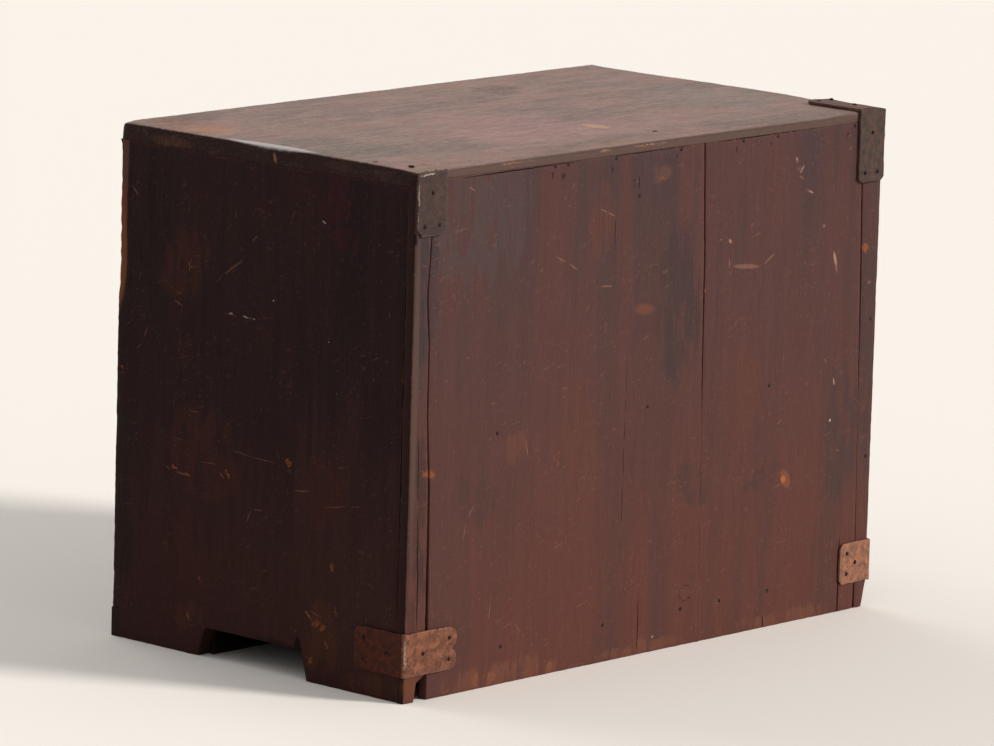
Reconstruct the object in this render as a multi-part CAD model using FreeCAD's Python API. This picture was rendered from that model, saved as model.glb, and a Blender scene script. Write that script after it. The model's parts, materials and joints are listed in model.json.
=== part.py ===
import FreeCAD, Part
import math
import os

# A small nailed tansu: a softwood case with four inset drawers, iron straps on its rear corners and
# forged bail pulls. Millimetres; +Z up, the front faces -Y, the origin is on the floor under the
# middle of the whole object.

Vector = FreeCAD.Vector

# --- case boards ---
case_w = 524.0          # over the side boards
case_d = 303.0          # back boards to front edges, one shaku
side_t = 12.0
top_t = 13.0
bottom_t = 12.0
middle_shelf_t = 11.0
upper_shelf_t = 10.0
divider_t = 10.0
divider_from_right = 242.0
housing = 4.0           # depth of the grooves that carry shelves and divider
top_arris = 2.0
top_corner = 5.0        # worn front right corner of the top

# --- bays, from the floor up ---
foot_h = 22.5
low_bay_h = 149.5
middle_bay_h = 88.0
top_bay_h = 86.0

# --- base ---
rear_foot = 101.0       # length of each rear foot left by the sawn notch
front_foot = 97.0
plinth_t = 9.5
plinth_proud = 0.8
batten_w = 30.0

# --- back ---
back_t = 8.0
back_rise = 5.0         # how far the back boards stand up into the top board's rebate
board_gap = 0.6
right_strip_top = 16.7
right_strip_foot = 23.0
left_strip_top = 23.5
left_strip_foot = 15.0
narrow_edge_top = 209.0     # joint of the wide and the narrow board, from the left edge
narrow_edge_foot = 199.0
lost_chip_w = 12.0      # missing corner at the foot of the right strip
lost_chip_h = 19.0
lost_chip_slope = 5.0
worn_foot_w = 5.0       # worn outer corner at the foot of the left strip
worn_foot_h = 21.0

# --- drawers ---
side_gap = 0.8
top_gap = 1.2
slide_gap = 0.3         # under each drawer
stop_gap = 0.6          # drawer back to back boards when shut
front_t = 14.0
front_lip = 6.0         # wood left in front of the drawer's corner joints
front_arris = 1.0
drawer_side_t = 9.0
drawer_back_t = 9.0
drawer_bottom_t = 6.0
side_drop = 2.0         # drawer sides stop this far under the top of the front
finger_pitch = 24.0     # wished height of one finger of the rear corner joints
peg_w = 2.4
peg_bite = 10.0
peg_margin = 16.0
peg_pitch = 110.0

# --- pulls ---
post_spacing = 70.0
pull_inset = 125.0      # pull centre from the end of a full-width front
pull_rise = 8.0         # hinge above the middle of the front
stub_r = 1.75
hinge_clear = 0.08
eye_r = 4.2
eye_sides = 8
eye_w = 3.6
eye_side_gap = 0.5
stub_out = 2.0          # stub past the eye
elbow_r = 4.5
bail_drop = 31.0
bail_corner_r = 10.0
leg_r = 2.2
grip_r = 3.0
bar_sides = 8
elbow_steps = 2
corner_steps = 3
grip_steps = 2
washer_r = 11.0
washer_t = 1.2
washer_crown_r = 8.5
washer_sides = 12
washer_gap = 0.2        # eye clear of its washer
post_w = 3.0
post_fit = 0.1
tail_t = 1.4
tail_l = 11.0

# --- iron straps ---
iron_t = 2.2
top_strap_w = 30.0
top_strap_top_leg = 54.0
top_strap_back_leg = 55.5
torn_strap_leg = 48.5
low_strap_w = 32.0
right_low_strap_z = 20.0
left_low_strap_z = 21.5
right_low_back_leg = 53.0
left_low_back_leg = 35.0
low_side_leg = 48.0
strap_inner_nail = 17.0     # first nail of a leg, from the corner
leg_corner = 3.5            # clipped corners of a plain leg's end
cleft = 5.0                 # between the two lobes of a tailed leg's end
torn_edge = 1.5             # how far the torn end of the right top strap stops short of the arris

# --- nails ---
head_sides = 6
nail_w = 2.0
head_r = 2.4
head_top_r = 1.6
head_h = 0.8
nail_hold = 7.5             # how far a strap nail goes into the wood
board_nail_w = 1.6
board_head_r = 1.6
board_head_top_r = 1.1
board_head_h = 0.4
board_nail_l = 20.0
top_nails_from_right = (148.0, 162.0, 215.0)
top_nails_from_left = (236.0, 165.0, 125.0, 34.0)
shelf_nails_from_right = (93.0,)
shelf_nails_from_left = (265.0, 125.0)
bottom_nails_from_right = (103.0, 216.0)
bottom_nails_from_left = (220.0, 175.0, 119.0)
strip_nail_heights = (120.0, 228.0)
divider_nail_drop = 28.0
lid_nail_from_left = 234.0
lid_nail_from_back = 29.0
lid_nail_l = 11.0
lost_strap_nails = ((8.0, 49.0), (15.0, 20.0))   # left in the top: from the right edge, from the back

# --- directions ---
REAR = Vector(0, 1, 0)
UP = Vector(0, 0, 1)
RIGHT = Vector(1, 0, 0)
LEFT = Vector(-1, 0, 0)

# --- derived places ---
bottom_z = foot_h + bottom_t
middle_shelf_z = bottom_z + low_bay_h
middle_bay_z = middle_shelf_z + middle_shelf_t
upper_shelf_z = middle_bay_z + middle_bay_h
top_bay_z = upper_shelf_z + upper_shelf_t
lid_z = top_bay_z + top_bay_h
case_h = lid_z + top_t
hinge_off = washer_t + washer_gap + eye_r
bail_half = post_spacing / 2 + eye_w / 2 + eye_side_gap + elbow_r
shoulder_r = stub_r / math.cos(math.pi / bar_sides)     # the facetted bar just covers the round stub
front_reach = hinge_off + eye_r * math.cos(math.pi / eye_sides)
rear_reach = iron_t + head_h
rear_y = case_d / 2 + (front_reach - rear_reach) / 2
front_y = rear_y - case_d
right_x = case_w / 2
left_x = -case_w / 2
inner_right = right_x - side_t
inner_left = left_x + side_t
divider_x = right_x - divider_from_right
back_inner_y = rear_y - back_t


def block(x0, x1, y0, y1, z0, z1):
    return Part.makeBox(x1 - x0, y1 - y0, z1 - z0, Vector(x0, y0, z0))


def outline(points, push):
    corners = [Vector(*p) for p in points]
    return Part.Face(Part.makePolygon(corners + corners[:1])).extrude(push)


def cut(solid, tools):
    return solid.cut(Part.makeCompound(tools)) if tools else solid


def edges_where(solid, test):
    return [e for e in solid.Edges if test(e)]


def runs_along(edge, axis):
    start, end = edge.Vertexes[0].Point, edge.Vertexes[-1].Point
    span = end - start
    return abs(abs(getattr(span.normalize(), axis)) - 1) < 1e-6


def facet_ring(centre, first, second, radius, sides):
    """Corners of a regular polygon about centre in the plane of the directions first and second."""
    turns = [2 * math.pi * (k + 0.5) / sides for k in range(sides)]
    return [centre + first * (radius * math.cos(a)) + second * (radius * math.sin(a)) for a in turns]


def facet_face(corners):
    return Part.Face(Part.makePolygon(corners + corners[:1]))


def facetted(rings):
    """A solid with flat facets between rings of as many corners each, closed by the first and last ring."""
    faces = [facet_face(rings[0]), facet_face(rings[-1])]
    for lower, upper in zip(rings, rings[1:]):
        for k in range(len(lower)):
            faces.append(facet_face([lower[k - 1], lower[k], upper[k], upper[k - 1]]))
    solid = Part.makeSolid(Part.makeShell(faces))
    if solid.Volume < 0:
        solid.reverse()
    return solid


def hammered_head(radius, top_radius, height):
    """A forged head on the XY plane, tapering towards +Z."""
    return facetted([facet_ring(Vector(0, 0, z), RIGHT, REAR, r, head_sides)
                     for r, z in ((radius, 0.0), (top_radius, height))])


def nail(place, outward, shank, width, radius, top_radius, height):
    """A square nail: its head sits on the surface at place, its shank goes in against outward."""
    head = hammered_head(radius, top_radius, height)
    body = Part.makeBox(width, width, shank, Vector(-width / 2, -width / 2, -shank))
    whole = head.fuse(body)
    whole.Placement = FreeCAD.Placement(place, FreeCAD.Rotation(UP, outward))
    body.Placement = FreeCAD.Placement(place, FreeCAD.Rotation(UP, outward))
    return whole, body


# --- nails through the boards ---
def board_nail(place, outward, shank=board_nail_l):
    return nail(place, outward, shank, board_nail_w, board_head_r, board_head_top_r, board_head_h)


def row_of_nails(from_right, from_left, z):
    places = [right_x - u for u in from_right] + [left_x + u for u in from_left]
    return [board_nail(Vector(x, rear_y, z), REAR) for x in places]


def make_back_nails():
    lid_row_z = lid_z + back_rise / 2
    made = row_of_nails(top_nails_from_right, top_nails_from_left, lid_row_z)
    made += row_of_nails(shelf_nails_from_right, shelf_nails_from_left, middle_shelf_z + middle_shelf_t / 2)
    made += row_of_nails(bottom_nails_from_right, bottom_nails_from_left, foot_h + bottom_t / 2)
    made.append(board_nail(Vector(divider_x, rear_y, lid_z - divider_nail_drop), REAR))
    strip_x = left_x + side_t / 2
    made += [board_nail(Vector(strip_x, rear_y, z), REAR) for z in strip_nail_heights]
    return made


def make_lid_nail():
    place = Vector(left_x + lid_nail_from_left, rear_y - lid_nail_from_back, case_h)
    return [board_nail(place, UP, lid_nail_l)]


# --- iron straps and their nails ---
def plain_leg(width, length):
    """A flat leg in the XY plane from the origin along +X, with the corners of its end clipped."""
    half = width / 2
    return outline(((0, -half, 0), (length - leg_corner, -half, 0), (length, leg_corner - half, 0),
                    (length, half - leg_corner, 0), (length - leg_corner, half, 0), (0, half, 0)), UP * iron_t)


def tailed_leg(width, length):
    """A flat leg in the XY plane from the origin along +X, ending in two round lobes (a fish tail)."""
    lobe = width / 4
    leg = Part.makeBox(length - lobe, width, iron_t, Vector(0, -width / 2, 0))
    leg = leg.fuse(Part.makeBox(length - cleft, 2 * lobe, iron_t, Vector(0, -lobe, 0)))
    for side in (-1, 1):
        leg = leg.fuse(Part.makeCylinder(lobe, iron_t, Vector(length - lobe, side * lobe, 0)))
    return leg.removeSplitter()


def leg_nail_places(width, length):
    inset = width / 4
    return [(strap_inner_nail, 0.0), (length - inset, -inset), (length - inset, inset)]


def frame_of(corner, along, outward):
    """Placement that sends +X to along and +Z to outward, with the origin at corner."""
    across = outward.cross(along)
    matrix = FreeCAD.Matrix(along.x, across.x, outward.x, corner.x,
                            along.y, across.y, outward.y, corner.y,
                            along.z, across.z, outward.z, corner.z,
                            0, 0, 0, 1)
    return FreeCAD.Placement(matrix)


def strap_leg(width, length, corner, along, outward, shape=plain_leg):
    """One leg of a strap with its three nails."""
    place = frame_of(corner, along, outward)
    leg = shape(width, length)
    leg.Placement = place
    nails = []
    for x, y in leg_nail_places(width, length):
        seat = place.multVec(Vector(x, y, iron_t))
        nails.append(nail(seat, outward, iron_t + nail_hold, nail_w, head_r, head_top_r, head_h))
    return leg, nails


def bend(width, corner, first, second):
    """The quarter-round outer corner that joins two legs of a strap."""
    along = first.cross(second)
    start = corner - along * (width / 2)
    return Part.makeCylinder(iron_t, width, start, along).common(
        block(*quadrant(corner, first, second, width)))


def quadrant(corner, first, second, width):
    reach = width + iron_t
    low, high = [], []
    for axis in ("x", "y", "z"):
        push = getattr(first, axis) + getattr(second, axis)
        here = getattr(corner, axis)
        if abs(push) < 0.5:
            low.append(here - reach)
            high.append(here + reach)
        else:
            low.append(min(here, here + push * reach))
            high.append(max(here, here + push * reach))
    return low[0], high[0], low[1], high[1], low[2], high[2]


def strap(width, corner, legs):
    """legs: (length, direction along the leg, outward normal, and a shape if not plain) for both legs."""
    pieces, nails = [], []
    for leg_facts in legs:
        length, along, outward, *shape = leg_facts
        leg, leg_nails = strap_leg(width, length, corner, along, outward, *shape)
        pieces.append(leg)
        nails += leg_nails
    pieces.append(bend(width, corner, legs[0][2], legs[1][2]))
    whole = pieces[0].fuse(pieces[1:]).removeSplitter()
    return whole, nails


def make_straps():
    right_z = right_low_strap_z + low_strap_w / 2
    left_z = left_low_strap_z + low_strap_w / 2
    half = top_strap_w / 2
    made = {}
    made["strap_low_right"] = strap(low_strap_w, Vector(right_x, rear_y, right_z), (
        (right_low_back_leg, LEFT, REAR, tailed_leg), (low_side_leg, -REAR, RIGHT)))
    made["strap_low_left"] = strap(low_strap_w, Vector(left_x, rear_y, left_z), (
        (left_low_back_leg, RIGHT, REAR), (low_side_leg, -REAR, LEFT)))
    made["strap_top_left"] = strap(top_strap_w, Vector(left_x + half, rear_y, case_h), (
        (top_strap_back_leg, -UP, REAR), (top_strap_top_leg, -REAR, UP)))
    leg, nails = strap_leg(top_strap_w, torn_strap_leg, Vector(right_x - half, rear_y, case_h), -UP, REAR)
    torn = outline(((right_x, rear_y, case_h), (right_x, rear_y, case_h - torn_edge),
                    (right_x - half, rear_y, case_h - torn_edge / 2),
                    (right_x - top_strap_w, rear_y, case_h - torn_edge),
                    (right_x - top_strap_w, rear_y, case_h)), REAR * iron_t)
    made["strap_top_right"] = (leg.cut(torn), nails)
    return made


def make_lost_strap_nails():
    return [nail(Vector(right_x - u, rear_y - v, case_h), UP, nail_hold, nail_w, head_r, head_top_r, head_h)
            for u, v in lost_strap_nails]


# --- case ---
def make_top(shanks):
    top = block(left_x, right_x, front_y, rear_y, lid_z, case_h)
    corner = edges_where(top, lambda e: runs_along(e, "z") and e.CenterOfMass.x > 0 and e.CenterOfMass.y < 0)
    top = top.makeFillet(top_corner, corner)
    rim = edges_where(top, lambda e: e.BoundBox.ZMin > case_h - 0.01)
    top = top.makeFillet(top_arris, rim)
    rebate = block(left_x, right_x, back_inner_y, rear_y, lid_z, lid_z + back_rise)
    groove = block(divider_x - divider_t / 2, divider_x + divider_t / 2, front_y, back_inner_y,
                   lid_z, lid_z + housing)
    return cut(top, [rebate, groove] + shanks)


def make_side(outer, inner, shanks):
    """A side board with the sawn notch between its feet, the plinth's seat and the shelf housings."""
    low_x, high_x = min(outer, inner), max(outer, inner)
    board = block(low_x, high_x, front_y, back_inner_y, 0, lid_z)
    notch = block(low_x, high_x, front_y + front_foot, rear_y - rear_foot, 0, foot_h)
    plinth_seat = block(low_x, high_x, front_y, front_y + plinth_t - plinth_proud, 0, foot_h)
    depth = housing if outer > inner else -housing
    sunk = (min(inner, inner + depth), max(inner, inner + depth))
    tools = [notch, plinth_seat]
    for z, t in ((foot_h, bottom_t), (middle_shelf_z, middle_shelf_t), (upper_shelf_z, upper_shelf_t)):
        tools.append(block(*sunk, front_y, back_inner_y, z, z + t))
    return cut(board, tools + shanks)


def make_shelf(z, thickness, shanks):
    board = block(inner_left - housing, inner_right + housing, front_y, back_inner_y, z, z + thickness)
    return cut(board, shanks)


def make_upper_shelf():
    groove = block(divider_x - divider_t / 2, divider_x + divider_t / 2, front_y, back_inner_y,
                   top_bay_z - housing, top_bay_z)
    return make_shelf(upper_shelf_z, upper_shelf_t, [groove])


def make_divider(shanks):
    return cut(block(divider_x - divider_t / 2, divider_x + divider_t / 2, front_y, back_inner_y,
                     top_bay_z - housing, lid_z + housing), shanks)


def make_plinth():
    return block(left_x, right_x, front_y - plinth_proud, front_y - plinth_proud + plinth_t, 0, foot_h)


def make_batten():
    rear_face = front_y + front_foot
    return block(inner_left, inner_right, rear_face - batten_w, rear_face, 0, foot_h)


def make_back(shanks):
    """Four upright boards with joints that lean a little. The right strip has lost a corner at its foot, and
    the left strip's outer corner is worn away."""
    high = lid_z + back_rise
    joints = [(right_x, right_x),
              (right_x - right_strip_top, right_x - right_strip_foot),
              (left_x + narrow_edge_top, left_x + narrow_edge_foot),
              (left_x + left_strip_top, left_x + left_strip_foot),
              (left_x, left_x)]
    names = ("back_strip_right", "back_board_wide", "back_board_narrow", "back_strip_left")
    boards = {}
    for k, name in enumerate(names):
        right_gap = board_gap / 2 if k > 0 else 0
        left_gap = board_gap / 2 if k < len(names) - 1 else 0
        (right_top, right_foot), (left_top, left_foot) = joints[k], joints[k + 1]
        boards[name] = outline(((right_foot - right_gap, back_inner_y, 0),
                                (right_top - right_gap, back_inner_y, high),
                                (left_top + left_gap, back_inner_y, high),
                                (left_foot + left_gap, back_inner_y, 0)), REAR * back_t)
    seam = right_x - right_strip_foot
    chip = outline(((seam + lost_chip_w, back_inner_y, 0),
                    (seam + lost_chip_w - lost_chip_slope / 2, back_inner_y, lost_chip_h - lost_chip_slope),
                    (seam, back_inner_y, lost_chip_h),
                    (seam, back_inner_y, 0)), REAR * back_t)
    boards["back_strip_right"] = boards["back_strip_right"].cut(chip)
    worn = outline(((left_x, back_inner_y, 0),
                    (left_x + worn_foot_w, back_inner_y, 0),
                    (left_x, back_inner_y, worn_foot_h)), REAR * back_t)
    boards["back_strip_left"] = boards["back_strip_left"].cut(worn)
    return {name: cut(board, shanks) for name, board in boards.items()}


# --- drawers ---
def spread(low, high, pitch):
    """Places from low to high, evenly spaced at about the wished pitch."""
    steps = max(1, round((high - low) / pitch))
    return [low + (high - low) * k / steps for k in range(steps + 1)]


def peg(place, inward, length):
    body = Part.makeBox(peg_w, peg_w, length, Vector(-peg_w / 2, -peg_w / 2, 0))
    body.Placement = FreeCAD.Placement(place, FreeCAD.Rotation(UP, inward))
    return body


class Drawer:
    def __init__(self, name, x0, x1, z0, z1, pull_places):
        self.name = name
        self.x0 = x0 + side_gap
        self.x1 = x1 - side_gap
        self.z0 = z0 + slide_gap
        self.z1 = z1 - top_gap
        self.box_y = front_y + front_lip
        self.rear = back_inner_y - stop_gap
        self.wall_z0 = self.z0 + drawer_bottom_t
        self.wall_z1 = self.z1 - side_drop
        self.hinge_z = (self.z0 + self.z1) / 2 + pull_rise
        self.pulls = [self.x0 + p if p > 0 else self.x1 + p for p in pull_places]
        if not pull_places:
            self.pulls = [(self.x0 + self.x1) / 2]

    def pegs(self):
        joint_y = (self.box_y + front_y + front_t) / 2
        made = []
        for z in spread(self.wall_z0 + peg_margin, self.wall_z1 - peg_margin, peg_pitch):
            made.append(peg(Vector(self.x0, joint_y, z), RIGHT, drawer_side_t + peg_bite))
            made.append(peg(Vector(self.x1, joint_y, z), LEFT, drawer_side_t + peg_bite))
        length = drawer_bottom_t + peg_bite
        for y in spread(front_y + front_t + peg_margin, self.rear - drawer_back_t - peg_margin, peg_pitch):
            made.append(peg(Vector(self.x0 + drawer_side_t / 2, y, self.z0), UP, length))
            made.append(peg(Vector(self.x1 - drawer_side_t / 2, y, self.z0), UP, length))
        inset = drawer_side_t + peg_margin
        for x in spread(self.x0 + inset, self.x1 - inset, peg_pitch):
            made.append(peg(Vector(x, self.rear - drawer_back_t / 2, self.z0), UP, length))
        return made

    def fingers(self):
        """Height steps of the rear corner joint; the side keeps the even ones, the back the odd ones."""
        count = max(3, 2 * round((self.wall_z1 - self.wall_z0) / finger_pitch / 2) + 1)
        step = (self.wall_z1 - self.wall_z0) / count
        return [(self.wall_z0 + k * step, self.wall_z0 + (k + 1) * step, k % 2 == 0) for k in range(count)]

    def front(self, holes):
        board = block(self.x0, self.x1, front_y, front_y + front_t, self.z0, self.z1)
        rim = edges_where(board, lambda e: e.BoundBox.YMax < front_y + 0.01)
        board = board.makeChamfer(front_arris, rim)
        inner = front_y + front_t
        seats = [block(self.x0, self.x1, self.box_y, inner, self.z0, self.wall_z0),
                 block(self.x0, self.x0 + drawer_side_t, self.box_y, inner, self.wall_z0, self.wall_z1),
                 block(self.x1 - drawer_side_t, self.x1, self.box_y, inner, self.wall_z0, self.wall_z1)]
        return cut(board, seats + holes)

    def side(self, x0, holes):
        x1 = x0 + drawer_side_t
        board = block(x0, x1, self.box_y, self.rear, self.wall_z0, self.wall_z1)
        sockets = [block(x0, x1, self.rear - drawer_back_t, self.rear, low, high)
                   for low, high, of_side in self.fingers() if not of_side]
        return cut(board, sockets + holes)

    def back(self, holes):
        board = block(self.x0, self.x1, self.rear - drawer_back_t, self.rear, self.wall_z0, self.wall_z1)
        sockets = []
        for low, high, of_side in self.fingers():
            if of_side:
                for x in (self.x0, self.x1 - drawer_side_t):
                    sockets.append(block(x, x + drawer_side_t, self.rear - drawer_back_t, self.rear, low, high))
        return cut(board, sockets + holes)

    def bottom(self, holes):
        return cut(block(self.x0, self.x1, self.box_y, self.rear, self.z0, self.wall_z0), holes)

    def nodes(self):
        pegs = self.pegs()
        holes = pegs + [hole for x in self.post_places() for hole in post_hole(x, self.hinge_z)]
        made = {"front": self.front(holes),
                "side_left": self.side(self.x0, pegs),
                "side_right": self.side(self.x1 - drawer_side_t, pegs),
                "back": self.back(pegs),
                "bottom": self.bottom(pegs),
                "pegs": Part.makeCompound(pegs),
                "posts": Part.makeCompound([make_post(x, self.hinge_z) for x in self.post_places()]),
                "washers": Part.makeCompound([make_washer(x, self.hinge_z) for x in self.post_places()])}
        named = {f"{self.name}_{part}": shape for part, shape in made.items()}
        for k, x in enumerate(self.pulls):
            suffix = "" if len(self.pulls) == 1 else ("_left", "_right")[k]
            named[f"{self.name}_bail{suffix}"] = make_bail(x, self.hinge_z)
        return named

    def post_places(self):
        return [x + side * post_spacing / 2 for x in self.pulls for side in (-1, 1)]


# --- pulls ---
def post_hole(x, z):
    half = post_w / 2 + post_fit
    return [block(x - half, x + half, front_y, front_y + front_t, z - half, z + half)]


def make_post(x, z):
    """A split pin: an eye in front, a square shank through the front, two tails clenched behind it."""
    hinge_y = front_y - hinge_off
    eye_side = Vector(x - eye_w / 2, hinge_y, z)
    eye = facet_face(facet_ring(eye_side, REAR, UP, eye_r, eye_sides)).extrude(RIGHT * eye_w)
    half = post_w / 2
    inner = front_y + front_t
    shank = outline(((x - half, hinge_y + stub_r, z - half),
                     (x - half, inner, z - half),
                     (x - tail_l, inner, z - half),
                     (x - tail_l, inner + tail_t / 2, z - half),
                     (x - tail_l + tail_t, inner + tail_t, z - half),
                     (x + tail_l - tail_t, inner + tail_t, z - half),
                     (x + tail_l, inner + tail_t / 2, z - half),
                     (x + tail_l, inner, z - half),
                     (x + half, inner, z - half),
                     (x + half, hinge_y + stub_r, z - half)), UP * post_w)
    hole = Part.makeCylinder(stub_r + hinge_clear, eye_w, eye_side, RIGHT)
    return eye.fuse(shank).cut(hole)


def make_washer(x, z):
    """A hammered disc between the eye and the wood, thinned to its rim, with a square hole for the post."""
    centre = Vector(x, front_y, z)
    steps = ((washer_r, 0.0), (washer_crown_r, washer_t))
    rings = [facet_ring(centre - REAR * rise, RIGHT, UP, r, washer_sides) for r, rise in steps]
    disc = facetted(rings)
    half = post_w / 2 + post_fit
    hole = block(x - half, x + half, front_y - washer_t, front_y, z - half, z + half)
    return disc.cut(hole)


def bail_stations():
    """Half of the bar from the elbow to the middle of the grip: place across, drop, turn and thickness."""
    made = []
    leg_l = bail_drop - elbow_r - bail_corner_r
    for k in range(elbow_steps + 1):
        turn = math.pi / 2 * k / elbow_steps
        made.append((bail_half - elbow_r + elbow_r * math.sin(turn), elbow_r - elbow_r * math.cos(turn),
                     turn, shoulder_r))
    for k in range(corner_steps + 1):
        turn = math.pi / 2 * k / corner_steps
        made.append((bail_half - bail_corner_r + bail_corner_r * math.cos(turn),
                     elbow_r + leg_l + bail_corner_r * math.sin(turn), math.pi / 2 + turn, leg_r))
    grip_half = bail_half - bail_corner_r
    for k in range(1, grip_steps + 1):
        share = k / grip_steps
        swell = math.sin(math.pi / 2 * share)
        made.append((grip_half * (1 - share), bail_drop, math.pi, leg_r + (grip_r - leg_r) * swell))
    return made


def make_bail(x, z):
    """A drop bail forged from one bar: round stubs in the eyes, then a facetted bar that swells at the grip."""
    hinge = Vector(x, front_y - hinge_off, z)
    half = bail_stations()
    stations = [(-across, drop, -turn, r) for across, drop, turn, r in half] + half[-2::-1]
    rings = []
    for across, drop, turn, r in stations:
        # the section stands square to the bar, which runs along (cos turn, -sin turn) in the XZ plane
        section_up = RIGHT * math.sin(turn) + UP * math.cos(turn)
        rings.append(facet_ring(hinge + RIGHT * across - UP * drop, REAR, section_up, r, bar_sides))
    bar = facetted(rings)
    stub_start = post_spacing / 2 - eye_w / 2 - stub_out
    stubs = [Part.makeCylinder(stub_r, bail_half - elbow_r - stub_start, hinge + out * stub_start, out)
             for out in (LEFT, RIGHT)]
    return bar.fuse(stubs)


def make_drawers():
    right_bay = (divider_x + divider_t / 2, inner_right)
    left_bay = (inner_left, divider_x - divider_t / 2)
    pair = (pull_inset, -pull_inset)
    return [Drawer("low", inner_left, inner_right, bottom_z, middle_shelf_z, pair),
            Drawer("middle", inner_left, inner_right, middle_bay_z, upper_shelf_z, pair),
            Drawer("top_left", *left_bay, top_bay_z, lid_z, ()),
            Drawer("top_right", *right_bay, top_bay_z, lid_z, ())]


def make_nodes():
    back_nails = make_back_nails()
    lid_nail = make_lid_nail()
    straps = make_straps()
    strap_nails = [n for _, nails in straps.values() for n in nails]
    left_over = make_lost_strap_nails()
    shanks = [shank for _, shank in back_nails + lid_nail + strap_nails + left_over]

    nodes = {"top_board": make_top(shanks),
             "side_board_right": make_side(right_x, inner_right, shanks),
             "side_board_left": make_side(left_x, inner_left, shanks),
             "bottom_board": make_shelf(foot_h, bottom_t, shanks),
             "middle_shelf": make_shelf(middle_shelf_z, middle_shelf_t, shanks),
             "upper_shelf": make_upper_shelf(),
             "top_divider": make_divider(shanks),
             "plinth_rail": make_plinth(),
             "foot_batten": make_batten()}
    nodes.update(make_back(shanks))
    for name, (strap_shape, _) in straps.items():
        nodes[name] = cut(strap_shape, shanks)
    nodes["back_nails"] = Part.makeCompound([whole for whole, _ in back_nails])
    nodes["strap_nails"] = Part.makeCompound([whole for whole, _ in strap_nails])
    nodes["top_nails"] = Part.makeCompound([whole for whole, _ in lid_nail + left_over])
    for drawer in make_drawers():
        nodes.update(drawer.nodes())
    return nodes


os.makedirs("parts", exist_ok=True)
for node_name, node_shape in make_nodes().items():
    node_shape.exportStep(f"parts/{node_name}.step")
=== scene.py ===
import json
import math

import bmesh
import bpy
import numpy as np
from mathutils import Matrix, Vector

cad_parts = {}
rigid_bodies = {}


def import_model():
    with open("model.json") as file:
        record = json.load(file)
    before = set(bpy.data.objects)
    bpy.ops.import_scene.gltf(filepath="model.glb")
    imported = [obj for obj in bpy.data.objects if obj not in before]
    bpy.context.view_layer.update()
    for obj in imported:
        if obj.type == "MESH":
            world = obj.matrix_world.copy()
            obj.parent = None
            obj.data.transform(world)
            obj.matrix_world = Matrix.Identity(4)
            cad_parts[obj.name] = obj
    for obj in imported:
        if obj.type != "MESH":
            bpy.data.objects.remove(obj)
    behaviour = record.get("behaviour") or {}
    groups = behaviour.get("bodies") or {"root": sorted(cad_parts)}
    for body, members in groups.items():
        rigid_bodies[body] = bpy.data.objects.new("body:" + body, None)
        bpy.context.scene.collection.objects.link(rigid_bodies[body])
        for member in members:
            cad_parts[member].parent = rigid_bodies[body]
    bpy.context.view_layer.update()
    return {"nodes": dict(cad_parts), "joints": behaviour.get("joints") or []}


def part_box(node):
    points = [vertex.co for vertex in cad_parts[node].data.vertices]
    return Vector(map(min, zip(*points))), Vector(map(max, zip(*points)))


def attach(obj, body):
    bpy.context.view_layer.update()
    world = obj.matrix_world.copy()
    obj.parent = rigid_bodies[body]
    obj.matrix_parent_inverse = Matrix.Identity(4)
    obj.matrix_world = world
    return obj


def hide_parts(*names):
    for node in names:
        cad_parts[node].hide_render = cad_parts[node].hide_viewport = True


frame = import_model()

# --- The view ---
# The case stands with its drawers towards -Y. A long lens looks down a little on its rear right corner, so
# the back, the right side and the top show. Marks of age are measured from that corner, on the floor.
side_low, side_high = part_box("side_board_right")
wide_low, wide_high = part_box("back_board_wide")
RIGHT_X = side_high[0]
REAR_Y = wide_high[1]
VIEW_YAW = math.radians(47.618)
VIEW_PITCH = math.radians(10.346)
VIEW_ROLL = math.radians(-1.646)
VIEW_FROM_CORNER = Vector((3.6127, 3.3796, 1.1499))
FOCAL_PIXELS = 6988.3
FRAME_PIXELS = 994
SENSOR_MM = 36.0

forward = Vector((-math.sin(VIEW_YAW) * math.cos(VIEW_PITCH),
                  -math.cos(VIEW_YAW) * math.cos(VIEW_PITCH), -math.sin(VIEW_PITCH)))
level = Vector((-math.cos(VIEW_YAW), math.sin(VIEW_YAW), 0.0))
down = Vector((math.sin(VIEW_YAW) * math.sin(VIEW_PITCH),
               math.cos(VIEW_YAW) * math.sin(VIEW_PITCH), -math.cos(VIEW_PITCH)))
across = math.cos(VIEW_ROLL) * level + math.sin(VIEW_ROLL) * down
upward = math.sin(VIEW_ROLL) * level - math.cos(VIEW_ROLL) * down
camera_data = bpy.data.cameras.new("view")
camera_data.sensor_width = SENSOR_MM
camera_data.lens = FOCAL_PIXELS * SENSOR_MM / FRAME_PIXELS
camera_data.clip_end = 50.0
camera = bpy.data.objects.new("view", camera_data)
bpy.context.scene.collection.objects.link(camera)
turn = Matrix((across, upward, -forward)).transposed().to_4x4()
camera.matrix_world = Matrix.Translation(Vector((RIGHT_X, REAR_Y, 0)) + VIEW_FROM_CORNER) @ turn
bpy.context.scene.camera = camera


# --- Floor, backdrop and light ---
# A plain pale floor, a white surround, one soft key from behind the left rear corner, a weak fill on the
# drawer side and even light from the surround.
FLOOR_COLOUR = (0.97, 0.925, 0.88, 1.0)
FLOOR_SIZE = 14.0


def wire(tree, node, wires):
    """Links or sets each of the node's inputs that wires names."""
    for key, value in dict(wires).items():
        if isinstance(value, bpy.types.NodeSocket):
            tree.links.new(value, node.inputs[key])
        else:
            node.inputs[key].default_value = value


def put(tree, kind, wires=(), **options):
    """Adds a shader node, sets its options and its inputs, and gives back its outputs."""
    made = tree.nodes.new("ShaderNode" + kind)
    for key, value in options.items():
        setattr(made, key, value)
    wire(tree, made, wires)
    return made.outputs


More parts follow.
